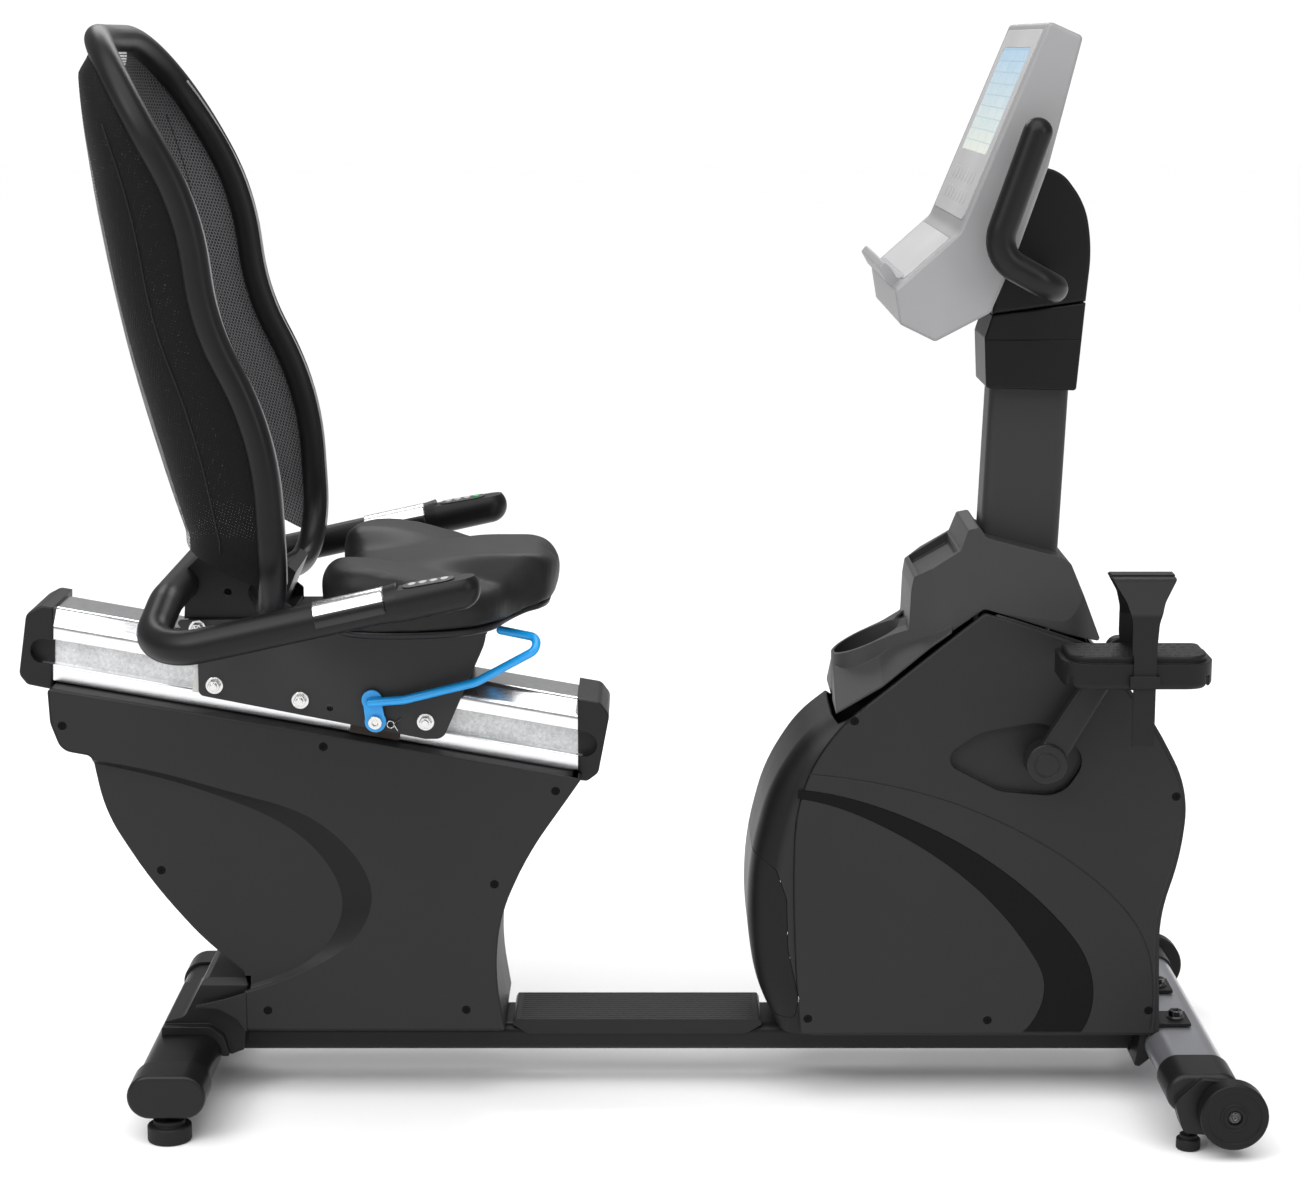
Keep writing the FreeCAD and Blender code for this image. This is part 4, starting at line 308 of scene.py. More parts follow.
# %% Plastics, rubbers and paints
def dark(name, colour, roughness, shine, scale=1100.0, bump=0.12, wear=0.15, **shader_values):
    """A black or charcoal moulding or paint, with the low shine of textured plastic."""
    return grained(name, colour, roughness, scale, bump, wear, Specular_IOR_Level=shine, **shader_values)


def grey(level, blue=1.03):
    return level, level, level * blue


finishes = {
    "frame_paint": dark("black_powder_coat", grey(0.0055), 0.38, 0.24, 1400.0, 0.10, 0.25),
    "mast_paint": dark("charcoal_powder_coat", grey(0.022), 0.50, 0.32, 1300.0, 0.10, 0.2),
    "silver_paint": grained("silver_metallic_paint", (0.34, 0.345, 0.37), 0.34, 1600.0, 0.08, 0.2,
                            (0.6, 0.6, 0.6), Metallic=0.75, Coat_Weight=0.3),
    "cover_plastic": dark("charcoal_cover", grey(0.0135), 0.48, 0.27, 1100.0, 0.14, 0.12),
    "top_plastic": dark("light_charcoal_cover", grey(0.028), 0.50, 0.36, 950.0, 0.22, 0.12),
    "inlay_plastic": dark("dark_inlay", grey(0.0022), 0.42, 0.12, 1500.0, 0.05, 0.0),
    "cap_plastic": dark("black_end_cap", grey(0.008), 0.42, 0.27, 1100.0, 0.12, 0.18),
    "neck_plastic": dark("neck_cover_black", grey(0.0055), 0.40, 0.20, 1200.0, 0.08, 0.12),
    "foot_rubber": dark("foot_rubber", grey(0.008), 0.62, 0.26, 800.0, 0.2, 0.0),
    "wheel_rubber": dark("wheel_urethane", grey(0.006), 0.42, 0.20, 700.0, 0.1, 0.15),
    "console_plastic": grained("console_grey", (0.25, 0.25, 0.255), 0.46, 1000.0, 0.14, 0.1, (0.6, 0.6, 0.6)),
    "console_front": grained("console_front_grey", (0.44, 0.44, 0.445), 0.38, 1500.0, 0.05),
    "grip_foam": dark("dipped_grip_black", grey(0.0055), 0.40, 0.24, 700.0, 0.10, 0.0),
    "bolt_black": grained("black_oxide", (0.014, 0.014, 0.016), 0.36, 1500.0, 0.08, 0.5, (0.3, 0.3, 0.3),
                          Metallic=0.6),
    "screw_black": dark("screw_black", grey(0.002), 0.40, 0.10, 1500.0, 0.05, 0.0),
    "lever_paint": grained("blue_powder_coat", (0.004, 0.30, 0.72), 0.34, 1300.0, 0.06, 0.1, (0.3, 0.7, 1.0),
                           Coat_Weight=0.35, Coat_Roughness=0.2),
    "crank_paint": dark("crank_charcoal", grey(0.013), 0.40, 0.26, 1100.0, 0.10, 0.25),
    "pedal_plastic": dark("pedal_black", grey(0.006), 0.46, 0.22, 900.0, 0.16, 0.18),
    "strap_rubber": dark("strap_black", grey(0.008), 0.48, 0.22, 800.0, 0.14, 0.12),
    "belt_rubber": grained("belt_rubber", (0.012, 0.012, 0.012), 0.60, 600.0, 0.2),
    "pulley_plastic": grained("pulley_nylon", (0.05, 0.05, 0.053), 0.50, 900.0, 0.12),
    "stator_iron": grained("stator_windings", (0.30, 0.11, 0.04), 0.40, 300.0, 0.3, Metallic=0.7),
    "board_green": grained("board_green", (0.01, 0.13, 0.05), 0.35, 500.0, 0.2),
    "battery_case": grained("battery_case", (0.05, 0.05, 0.055), 0.45, 900.0, 0.12),
    "glide_nylon": grained("glide_nylon", (0.55, 0.55, 0.52), 0.42, 800.0, 0.08),
    "shoe_lining": grained("shoe_lining", (0.06, 0.045, 0.035), 0.7, 400.0, 0.4),
    "keypad_film": grained("keypad_film", (0.045, 0.046, 0.048), 0.34, 1500.0, 0.05),
}
finishes["bolt_zinc"] = drawn("bright_zinc", (0.80, 0.80, 0.79), 0.20, 500.0, 500.0)
finishes["axle_steel"] = drawn("ground_steel", (0.56, 0.56, 0.57), 0.26, 900.0, 300.0)
finishes["magnet_ring"] = drawn("machined_ring", (0.32, 0.32, 0.33), 0.34, 700.0, 90.0)
finishes["contact_steel"] = drawn("pulse_plate_steel", (0.92, 0.92, 0.93), 0.24, 40.0, 900.0)
print(len(finishes), "finishes")

# %% [markdown]
# ### Sunk faces and contact plates
# The housings' sloping crescents are shallow, and soft light alone hardly shows them. So the charcoal plastic is
# toned down where a face leans back and down, which stands in for the shade of a deeper recess. Each pulse plate
# is bright steel on top and black lower down its arm, in place of a separate surround. Both effects read the
# face's own direction, which belongs to the part and not to the view.

# %% Leaning faces
lean_group, start, end = new_group(
    "leaning_faces", [("Direction", "NodeSocketVector", (0.0, 0.0, 1.0)), ("From", FLOAT, 0.0), ("To", FLOAT, 1.0)],
    [("Mask", FLOAT)])
facing = node(lean_group, "ShaderNodeVectorMath", operation="DOT_PRODUCT")
link(lean_group, node(lean_group, "ShaderNodeNewGeometry").outputs["Normal"], facing.inputs[0])
link(lean_group, start.outputs["Direction"], facing.inputs[1])
span = node(lean_group, "ShaderNodeMapRange")
link(lean_group, facing.outputs["Value"], span.inputs["Value"])
link(lean_group, start.outputs["From"], span.inputs["From Min"])
link(lean_group, start.outputs["To"], span.inputs["From Max"])
link(lean_group, span.outputs["Result"], end.inputs["Mask"])


def toned_by_lean(material, direction, low, high, second):
    """Mixes the material's base colour towards a second colour where faces lean in a direction."""
    tree = material.node_tree
    shader = tree.nodes["Principled BSDF"]
    first = shader.inputs["Base Color"].links[0].from_socket
    lean = place_group(tree, lean_group, Direction=direction, From=low, To=high)
    mix = node(tree, "ShaderNodeMix", data_type="RGBA")
    link(tree, lean.outputs["Mask"], mix.inputs["Factor"])
    link(tree, first, mix.inputs[6])
    mix.inputs[7].default_value = (*second, 1.0)
    link(tree, mix.outputs[2], shader.inputs["Base Color"])
    return lean


# Painted shade: the charcoal cover plastic turns near black on faces that lean back and down, in the sunk crescents.
toned_by_lean(finishes["cover_plastic"], (-0.80, 0.0, -0.60), 0.03, 0.16, (0.0015, 0.0015, 0.0016))
plate = finishes["contact_steel"]
plate_lean = toned_by_lean(plate, (0.0, 0.0, -1.0), -0.42, -0.38, grey(0.006))
steel_only = math_node(plate.node_tree, "SUBTRACT", 1.0, plate_lean.outputs["Mask"])
link(plate.node_tree, steel_only, plate.node_tree.nodes["Principled BSDF"].inputs["Metallic"])

# %% [markdown]
# ### The rail
# The rail is one extrusion, but it shows three faces of the same metal: a satin top, a frosted guide channel and
# a lower flange polished bright by the shoe. The rail is inclined, so a rotated coordinate gives its own height,
# and the band that a point lies in picks the roughness.

# %% Rail metal
RAIL_TILT = math.radians(10.1)
rail_low, rail_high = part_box("seat_rail")
rail_middle = (rail_low + rail_high) / 2


def rail_metal():
    material, tree, shader = start_material("rail_aluminium", Metallic=1.0)
    place = node(tree, "ShaderNodeTexCoord").outputs["Object"]
    turned = node(tree, "ShaderNodeVectorRotate", rotation_type="Y_AXIS")
    link(tree, place, turned.inputs["Vector"])
    turned.inputs["Center"].default_value = rail_middle
    turned.inputs["Angle"].default_value = -RAIL_TILT
    shift = node(tree, "ShaderNodeVectorMath", operation="SUBTRACT")
    link(tree, turned.outputs[0], shift.inputs[0])
    shift.inputs[1].default_value = rail_middle
    parts = node(tree, "ShaderNodeSeparateXYZ")
    link(tree, shift.outputs[0], parts.inputs[0])
    up = parts.outputs["Z"]
    channel = math_node(tree, "MULTIPLY", math_node(tree, "GREATER_THAN", up, -0.024),
                        math_node(tree, "LESS_THAN", up, 0.008))
    effect = place_group(tree, drawn_group, Base_Roughness=0.2, Along_X=4.0, Across=500.0)
    frost = node(tree, "ShaderNodeTexNoise", Scale=260.0, Detail=6.0, Roughness=0.75)
    link(tree, place, frost.inputs["Vector"])
    cloud = node(tree, "ShaderNodeTexNoise", Scale=22.0, Detail=4.0)
    link(tree, place, cloud.inputs["Vector"])
    plain = tinted(tree, effect.outputs["Tone"], (0.80, 0.81, 0.82), (0.93, 0.93, 0.94))
    mottle = math_node(tree, "MULTIPLY", frost.outputs["Fac"], math_node(tree, "ADD", cloud.outputs["Fac"], 0.75))
    rough_colour = tinted(tree, mottle, (0.50, 0.51, 0.52), (0.95, 0.95, 0.95))
    mix = node(tree, "ShaderNodeMix", data_type="RGBA")
    link(tree, channel, mix.inputs["Factor"])
    link(tree, plain, mix.inputs[6])
    link(tree, rough_colour, mix.inputs[7])
    link(tree, mix.outputs[2], shader.inputs["Base Color"])
    frosted = math_node(tree, "MULTIPLY", channel, 0.35)
    link(tree, math_node(tree, "ADD", effect.outputs["Roughness"], frosted), shader.inputs["Roughness"])
    relief = math_node(tree, "MULTIPLY", channel, frost.outputs["Fac"])
    bumped(tree, shader, relief, 0.35, 0.0006)
    return material


finishes["rail_metal"] = rail_metal()


# %% [markdown]
# ### The screen
# The display is off-white with a faint blue cast, as a lit panel looks in a bright room. A soft gradient and a
# few pale blocks stand for a generic screen layout, with no lettering.

# %% Screen
def lit_screen():
    material, tree, shader = start_material("display_window", Roughness=0.12, Coat_Weight=0.6)
    place = node(tree, "ShaderNodeTexCoord").outputs["Generated"]
    parts = node(tree, "ShaderNodeSeparateXYZ")
    link(tree, place, parts.inputs[0])
    sweep = node(tree, "ShaderNodeValToRGB")
    sweep.color_ramp.elements[0].color = (0.86, 0.90, 0.80, 1.0)
    sweep.color_ramp.elements[1].color = (0.42, 0.66, 0.86, 1.0)
    link(tree, parts.outputs["Z"], sweep.inputs["Fac"])
    tiles = node(tree, "ShaderNodeTexBrick", Scale=3.2, Mortar_Size=0.02, Brick_Width=0.9, Row_Height=0.35)
    tiles.inputs["Color1"].default_value = (1.0, 1.0, 1.0, 1.0)
    tiles.inputs["Color2"].default_value = (0.90, 0.94, 0.96, 1.0)
    tiles.inputs["Mortar"].default_value = (0.72, 0.80, 0.86, 1.0)
    flat = node(tree, "ShaderNodeCombineXYZ")
    link(tree, parts.outputs["Y"], flat.inputs["X"])
    link(tree, parts.outputs["Z"], flat.inputs["Y"])
    link(tree, flat.outputs[0], tiles.inputs["Vector"])
    mix = node(tree, "ShaderNodeMix", data_type="RGBA", blend_type="MULTIPLY")
    mix.inputs["Factor"].default_value = 1.0
    link(tree, sweep.outputs["Color"], mix.inputs[6])
    link(tree, tiles.outputs["Color"], mix.inputs[7])
    link(tree, mix.outputs[2], shader.inputs["Base Color"])
    link(tree, mix.outputs[2], shader.inputs["Emission Color"])
    shader.inputs["Emission Strength"].default_value = 0.45
    return material


finishes["screen_glass"] = lit_screen()


# %% [markdown]
# ### Seat skin and back fabric
# The cushion is self-skinned foam: a soft pebble with a low sheen. The back is a spacer mesh: a knitted sheet
# full of small holes, so it is given real see-through openings from a pattern laid along the cloth itself.

# %% Seat skin
def seat_skin():
    material, tree, shader = start_material("seat_skin", Specular_IOR_Level=0.23)
    place = node(tree, "ShaderNodeTexCoord").outputs["Object"]
    pebble = node(tree, "ShaderNodeTexVoronoi", Scale=620.0, feature="SMOOTH_F1")
    link(tree, place, pebble.inputs["Vector"])
    effect = place_group(tree, grain_group, Scale=300.0, Base_Roughness=0.50, Roughness_Spread=0.10)
    link(tree, tinted(tree, effect.outputs["Tone"], (0.006, 0.006, 0.0063), (0.010, 0.010, 0.0105)),
         shader.inputs["Base Color"])
    link(tree, effect.outputs["Roughness"], shader.inputs["Roughness"])
    bumped(tree, shader, pebble.outputs["Distance"], 0.25, 0.0005)
    return material


finishes["seat_skin"] = seat_skin()

# %% Knit group
MESH_PITCH = 0.0040

knit_group, start, end = new_group(
    "spacer_knit", [("Pitch", FLOAT, MESH_PITCH), ("Opening", FLOAT, 0.3)], [("Holes", FLOAT), ("Height", FLOAT)])
cloth_place = node(knit_group, "ShaderNodeUVMap").outputs[0]
cells = node(knit_group, "ShaderNodeVectorMath", operation="SCALE")
link(knit_group, cloth_place, cells.inputs[0])
link(knit_group, math_node(knit_group, "DIVIDE", 1.0, start.outputs["Pitch"]), cells.inputs["Scale"])
axes = node(knit_group, "ShaderNodeSeparateXYZ")
link(knit_group, cells.outputs[0], axes.inputs[0])
row = math_node(knit_group, "FLOOR", axes.outputs["Y"])
stagger = math_node(knit_group, "MULTIPLY", math_node(knit_group, "MODULO", row, 2.0), 0.5)
across = math_node(knit_group, "FRACT", math_node(knit_group, "ADD", axes.outputs["X"], stagger))
along = math_node(knit_group, "FRACT", axes.outputs["Y"])
dx = math_node(knit_group, "SUBTRACT", across, 0.5)
dy = math_node(knit_group, "MULTIPLY", math_node(knit_group, "SUBTRACT", along, 0.5), 0.8)
reach = math_node(knit_group, "SQRT", math_node(knit_group, "ADD", math_node(knit_group, "MULTIPLY", dx, dx),
                                               math_node(knit_group, "MULTIPLY", dy, dy)))
link(knit_group, math_node(knit_group, "LESS_THAN", reach, start.outputs["Opening"]), end.inputs["Holes"])
link(knit_group, reach, end.inputs["Height"])


# %% Back fabric
INSIDE_SHEEN_TONE = (0.16, 0.16, 0.165)    # paler threads on the face that the rider leans on, a painted sheen of light on the knit


def back_fabric(name, opening, base, shine):
    material, tree, shader = start_material(name, Specular_IOR_Level=shine, Sheen_Weight=0.03, Sheen_Roughness=0.5)
    knit = place_group(tree, knit_group, Pitch=MESH_PITCH, Opening=opening)
    effect = place_group(tree, grain_group, Scale=500.0, Base_Roughness=0.72, Roughness_Spread=0.06)
    outer = tinted(tree, effect.outputs["Tone"], tuple(0.7 * c for c in base), tuple(1.7 * c for c in base))
    threads = node(tree, "ShaderNodeMapRange")
    threads.inputs["From Min"].default_value = 0.22
    threads.inputs["From Max"].default_value = 0.48
    link(tree, knit.outputs["Height"], threads.inputs["Value"])
    inside_sheen = math_node(tree, "MULTIPLY", threads.outputs["Result"],
                       node(tree, "ShaderNodeNewGeometry").outputs["Backfacing"])
    mix = node(tree, "ShaderNodeMix", data_type="RGBA")
    link(tree, inside_sheen, mix.inputs["Factor"])
    link(tree, outer, mix.inputs[6])
    mix.inputs[7].default_value = (*INSIDE_SHEEN_TONE, 1.0)
    link(tree, mix.outputs[2], shader.inputs["Base Color"])
    link(tree, effect.outputs["Roughness"], shader.inputs["Roughness"])
    link(tree, math_node(tree, "SUBTRACT", 1.0, knit.outputs["Holes"]), shader.inputs["Alpha"])
    bumped(tree, shader, knit.outputs["Height"], 0.6, 0.001)
    return material


# Painted sheen: the back wall's copy of the knit has ten times the side walls' tone, and paler threads on its inner
# face.
finishes["back_fabric"] = back_fabric("spacer_mesh_open_sheen", 0.26, (0.036, 0.036, 0.037), 0.40)
side_fabric = back_fabric("spacer_mesh_dense", 0.03, (0.0035, 0.0035, 0.0037), 0.12)

# %% [markdown]
# ## Dress the CAD parts
# Every hard part keeps its CAD mesh, so the finish goes into its material slot. Flat-sided parts keep crisp
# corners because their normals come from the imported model.

# %% Assign finishes
slot_of = {row["node"]: row["material_slot"] for row in frame["record"]["subparts"]}
for name, part in frame["nodes"].items():
    finish = finishes[slot_of[name]]
    part.data.materials.clear()
    part.data.materials.append(finish)
print(len(frame["nodes"]), "CAD parts dressed")


# %% [markdown]
# ## Mesh helpers
# New pieces are built from lists of points and faces. A rounded path gives the same bends as a tube bender:
# straight runs joined by arcs.

# %% Piece helpers
def make_piece(name, verts, faces, material, body, smooth=True):
    mesh = bpy.data.meshes.new(name)
    mesh.from_pydata([tuple(v) for v in verts], [], faces)
    mesh.validate()
    mesh.update()
    piece = bpy.data.objects.new(name, mesh)
    bpy.context.collection.objects.link(piece)
    piece.data.materials.append(material)
    if smooth:
        mesh.shade_smooth()
    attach(piece, body)
    return piece


def rounded_path(points, radii, step=0.006):
    """Points along straight runs joined by arcs, like a bent tube's centre line."""
    points = [Vector(p) for p in points]
    line = [points[0]]
    for i in range(1, len(points) - 1):
        back = (points[i - 1] - points[i]).normalized()
        ahead = (points[i + 1] - points[i]).normalized()
        angle = back.angle(ahead)
        reach = radii[i] / math.tan(angle / 2)
        centre = points[i] + (back + ahead).normalized() * (radii[i] / math.sin(angle / 2))
        first = points[i] + back * reach - centre
        axis = first.cross(points[i] + ahead * reach - centre).normalized()
        sweep = math.pi - angle
        steps = max(2, int(sweep * radii[i] / step))
        line += [centre + Matrix.Rotation(sweep * k / steps, 3, axis) @ first for k in range(steps + 1)]
    line.append(points[-1])
    even = [line[0]]
    for point in line[1:]:
        gap = (point - even[-1]).length
        if gap > 2 * step:
            runs = int(gap / step)
            origin = even[-1].copy()
            even += [origin.lerp(point, k / runs) for k in range(1, runs)]
        if (point - even[-1]).length > 1e-6:
            even.append(point)
    return even


def tube_piece(name, line, radius, material, body, sides=12, closed=False):
    """A round bar along a list of points, with closed ends."""
    count = len(line)
    verts = []
    up = None
    for i, point in enumerate(line):
        before = line[i - 1] if (closed or i > 0) else point
        after = line[(i + 1) % count] if (closed or i < count - 1) else point
        along = (after - before).normalized()
        if up is None:
            up = along.orthogonal().normalized()
        up = (up - along * up.dot(along)).normalized()
        side = along.cross(up)
        for k in range(sides):
            turn = 2 * math.pi * k / sides
            verts.append(point + (up * math.cos(turn) + side * math.sin(turn)) * radius)
    faces = []
    runs = count if closed else count - 1
    for i in range(runs):
        for k in range(sides):
            a, b = i * sides + k, i * sides + (k + 1) % sides
            c, d = ((i + 1) % count) * sides + (k + 1) % sides, ((i + 1) % count) * sides + k
            faces.append((a, b, c, d))
    if not closed:
        faces.append(tuple(range(sides))[::-1])
        faces.append(tuple((count - 1) * sides + k for k in range(sides)))
    return make_piece(name, verts, faces, material, body)


# %% [markdown]
# ## The back sleeve
# On the real seat one mesh sleeve is laced to the bent tube and hangs behind it like a trough: two side walls and
# a back wall that takes the rider. It could be simulated, but a taut sheet has almost no freedom, so a rounded U
# drawn at each height, from one tube round to the other, is truer and always the same.

# %% Tube line of the backrest
BACK_HALF = 0.236
side_points = [(-0.470, -0.052, 0.664), (-0.428, -BACK_HALF, 0.664), (-0.438, -BACK_HALF, 0.885),
               (-0.505, -BACK_HALF, 1.018), (-0.522, -BACK_HALF, 1.155), (-0.628, -BACK_HALF, 1.352),
               (-0.655, 0.0, 1.352)]
near_line = rounded_path(side_points, [0, 0.090, 0.380, 0.300, 0.330, 0.160, 0])
print("tube line", len(near_line), "points, top at", round(max(p.z for p in near_line), 3))

# %% Section of the sleeve at each height
sleeve_tree = BVHTree.FromObject(frame["nodes"]["backrest_mesh"], bpy.context.evaluated_depsgraph_get())
SLEEVE_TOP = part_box("backrest_mesh")[1].z
BACK_WALL_LOW = 0.757        # below this the CAD sleeve has side walls only


def rear_wall_x(z):
    """Where the CAD sleeve's back wall is at a height, at the middle of the seat."""
    z = min(max(z, BACK_WALL_LOW), SLEEVE_TOP - 0.012)
    hit = sleeve_tree.ray_cast(Vector((-0.9, 0.0, z)), Vector((1.0, 0.0, 0.0)))[0]
    return hit.x if hit is not None else -0.6


def tube_at(z):
    """Tube centre (x, half width) at a height, read from the near tube line."""
    rising = [p for p in near_line if p.z > 0.70]
    for a, b in zip(rising, rising[1:]):
        if a.z <= z <= b.z and b.z > a.z:
            f = (z - a.z) / (b.z - a.z)
            return a.x + (b.x - a.x) * f, -(a.y + (b.y - a.y) * f)
    last = rising[0] if z < rising[0].z else max(rising, key=lambda p: p.z)
    return last.x, -last.y


ROWS = 110
COLUMNS = 96
SIDE_SHARE = 0.27            # the denser side walls and rear corners, as a share of the half turn
CORNER_POWER = 3.6
TOP_Z = 1.345
GATHER_Z = 1.31              # above this the cloth draws in towards the tube
TUBE_CLEAR = 0.018           # centre of the tube to the cloth laid over it
HEM_FRONT_Z = 0.690
HEM_RISE = 0.058


def hem_z(reach):
    """Bottom edge: low beside the tubes and rising towards the back wall, clear of the bracket."""
    return HEM_FRONT_Z + HEM_RISE * reach


def sleeve_point(s, t):
    turn = math.pi * t
    cos_t, sin_t = math.cos(turn), math.sin(turn)
    spread = abs(cos_t) ** (2.0 / CORNER_POWER)
    reach = abs(sin_t) ** (2.0 / CORNER_POWER)
    low = hem_z(reach)
    z = low + (TOP_Z - low) * s
    x_tube, half = tube_at(z)
    x_rear = rear_wall_x(z) + 0.002
    if z > GATHER_Z:
        x_rear += (x_tube - TUBE_CLEAR - x_rear) * ((z - GATHER_Z) / (TOP_Z - GATHER_Z)) ** 1.5
    depth = max(x_tube - x_rear, 0.012)
    y = -math.copysign(spread, cos_t) * (half - 0.004 + 0.006 * spread)
    x = x_tube - depth * reach
    return Vector((x, y, z))


grid = [[sleeve_point(i / (ROWS - 1), j / (COLUMNS - 1)) for j in range(COLUMNS)] for i in range(ROWS)]
verts = [p for line in grid for p in line]
faces = [(i * COLUMNS + j, i * COLUMNS + j + 1, (i + 1) * COLUMNS + j + 1, (i + 1) * COLUMNS + j)
         for i in range(ROWS - 1) for j in range(COLUMNS - 1)]
sleeve = make_piece("back_sleeve", verts, faces, finishes["back_fabric"], "carriage")
sleeve.data.materials.append(side_fabric)

# %% Cloth coordinates and panels
near_wall = sleeve.data.polygons[(ROWS // 2) * (COLUMNS - 1) + 6]
if near_wall.normal.y > 0.0:
    sleeve.data.flip_normals()
print("near side wall faces", [round(v, 2) for v in near_wall.normal])
uv = sleeve.data.uv_layers.new(name="UVMap")
across_len = np.zeros((ROWS, COLUMNS))
along_len = np.zeros((ROWS, COLUMNS))
for i in range(ROWS):
    for j in range(COLUMNS):
        if j:
            across_len[i, j] = across_len[i, j - 1] + (grid[i][j] - grid[i][j - 1]).length
        if i:
            along_len[i, j] = along_len[i - 1, j] + (grid[i][j] - grid[i - 1][j]).length
across_len -= across_len[:, COLUMNS // 2:COLUMNS // 2 + 1]
for loop in sleeve.data.loops:
    i, j = divmod(loop.vertex_index, COLUMNS)
    uv.data[loop.index].uv = (across_len[i, j], along_len[i, COLUMNS // 2])
for polygon in sleeve.data.polygons:
    row, column = divmod(polygon.index, COLUMNS - 1)
    t = (column + 0.5) / (COLUMNS - 1)
    on_side = t < SIDE_SHARE or t > 1.0 - SIDE_SHARE
    polygon.material_index = 1 if on_side else 0
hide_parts("backrest_mesh")

# %% [markdown]
# A thin pale grey cord runs along the inner front edge of each tube, and a felled seam runs down each side wall.
# Both are thin round bars laid on the surfaces.

# %% Piping and seams
pale_cord_finish = grained("pale_cord_grey", (0.30, 0.30, 0.31), 0.45, 900.0, 0.1)
thread_finish = grained("seam_thread", (0.011, 0.011, 0.012), 0.6, 1200.0, 0.2, Specular_IOR_Level=0.2)


rising = [p for p in near_line if p.z > 0.70 and p.y < -0.2]
for word, flip in (("right", 1.0), ("left", -1.0)):
    line = [Vector((p.x + 0.0162, flip * (p.y + 0.0065), p.z)) for p in rising if p.z < 1.30]
    tube_piece("pale_cord_" + word, line, 0.0016, pale_cord_finish, "carriage", 8)
    column = 9 if flip > 0 else COLUMNS - 10
    line = [grid[i][column] + Vector((0.0, -flip * 0.0008, 0.0)) for i in range(4, ROWS - 16)]
    tube_piece("side_seam_" + word, line, 0.0011, thread_finish, "carriage", 6)


# %% [markdown]
# ## The cushion
# The seat is a saddle: two lobes for the hips with a notch between them, a dip in the middle and a nose that stays
# high while the lobes slope away under the thighs. A height over the plan gives that shape; the skin is then
# remeshed and inflated a few millimetres as cloth, so its faces crown the way filled foam does.

# %% Cushion plan and height
SEAT_MIDDLE = Vector((-0.240, 0.0))
half_plan = [(-0.368, 0.0), (-0.376, -0.050), (-0.388, -0.110), (-0.384, -0.175), (-0.356, -0.217), (-0.300, -0.229),
             (-0.240, -0.224), (-0.190, -0.205), (-0.160, -0.168), (-0.144, -0.125), (-0.118, -0.094),
             (-0.096, -0.074), (-0.088, -0.040), (-0.087, 0.0)]
full_plan = [Vector(p) for p in half_plan] + [Vector((x, -y)) for x, y in reversed(half_plan[1:-1])]


def smooth_ring(points, rounds=3):
    """Corner cutting turns a short outline into a smooth closed curve."""
    for _ in range(rounds):
        cut = []
        for i, p in enumerate(points):
            q = points[(i + 1) % len(points)]
            cut += [p.lerp(q, 0.25), p.lerp(q, 0.75)]
        points = cut
    return points


outline = smooth_ring(full_plan)


def ease(low, high, value):
    f = min(max((value - low) / (high - low), 0.0), 1.0)
    return f * f * (3 - 2 * f)


def seat_top(x, y):
    lobe = 0.716 - 0.034 * ease(-0.350, -0.150, x)
    middle = 0.694 + 0.018 * ease(-0.350, -0.170, x) - 0.004 * ease(-0.120, -0.090, x)
    side = ease(0.045 + 0.03 * ease(-0.35, -0.2, x), 0.125, abs(y))
    return middle + (lobe - middle) * side


PAD_BOTTOM = 0.6405
EDGE_ROLL = 0.020
INSET = 0.004
RINGS = 26


def edge_distance(x, y):
    best = 1.0
    for i, p in enumerate(outline):
        q = outline[(i + 1) % len(outline)]
        run = q - p
        f = max(0.0, min(1.0, (Vector((x, y)) - p).dot(run) / run.length_squared))
        best = min(best, (Vector((x, y)) - p - run * f).length)
    return best


count = len(outline)
verts, faces = [Vector((SEAT_MIDDLE.x, 0.0, seat_top(SEAT_MIDDLE.x, 0.0)))], []
for k in range(1, RINGS + 1):
    share = (k / RINGS) ** 0.8
    for p in outline:
        flat = SEAT_MIDDLE + (p - SEAT_MIDDLE) * share * (1.0 - INSET / (p - SEAT_MIDDLE).length)
        inward = edge_distance(flat.x, flat.y) - INSET
        roll = max(0.0, 1.0 - max(inward, 0.0) / EDGE_ROLL)
        drop = EDGE_ROLL * (1.0 - math.sqrt(max(0.0, 1.0 - roll * roll)))
        verts.append(Vector((flat.x, flat.y, seat_top(flat.x, flat.y) - drop)))
WALL_ROWS = 5
for k in range(1, WALL_ROWS + 1):
    for i, p in enumerate(outline):
        top = verts[1 + (RINGS - 1) * count + i]
        nose_lift = 0.012 * ease(-0.150, -0.095, p.x)
        low = PAD_BOTTOM + nose_lift
        tuck = 0.005 * (k / WALL_ROWS) ** 2
        flat = SEAT_MIDDLE + (p - SEAT_MIDDLE) * (1.0 - (INSET + tuck) / (p - SEAT_MIDDLE).length)
        verts.append(Vector((flat.x, flat.y, top.z + (low - top.z) * k / WALL_ROWS)))
for i in range(count):
    faces.append((0, 1 + i, 1 + (i + 1) % count))
for k in range(RINGS + WALL_ROWS - 1):
    for i in range(count):
        a, b = 1 + k * count + i, 1 + k * count + (i + 1) % count
        faces.append((a, a + count, b + count, b))
base = 1 + (RINGS + WALL_ROWS - 1) * count
faces.append(tuple(base + i for i in range(count))[::-1])
cushion = make_piece("saddle_cushion", verts, faces, finishes["seat_skin"], "carriage")
print("cushion rings", RINGS, "outline", count)


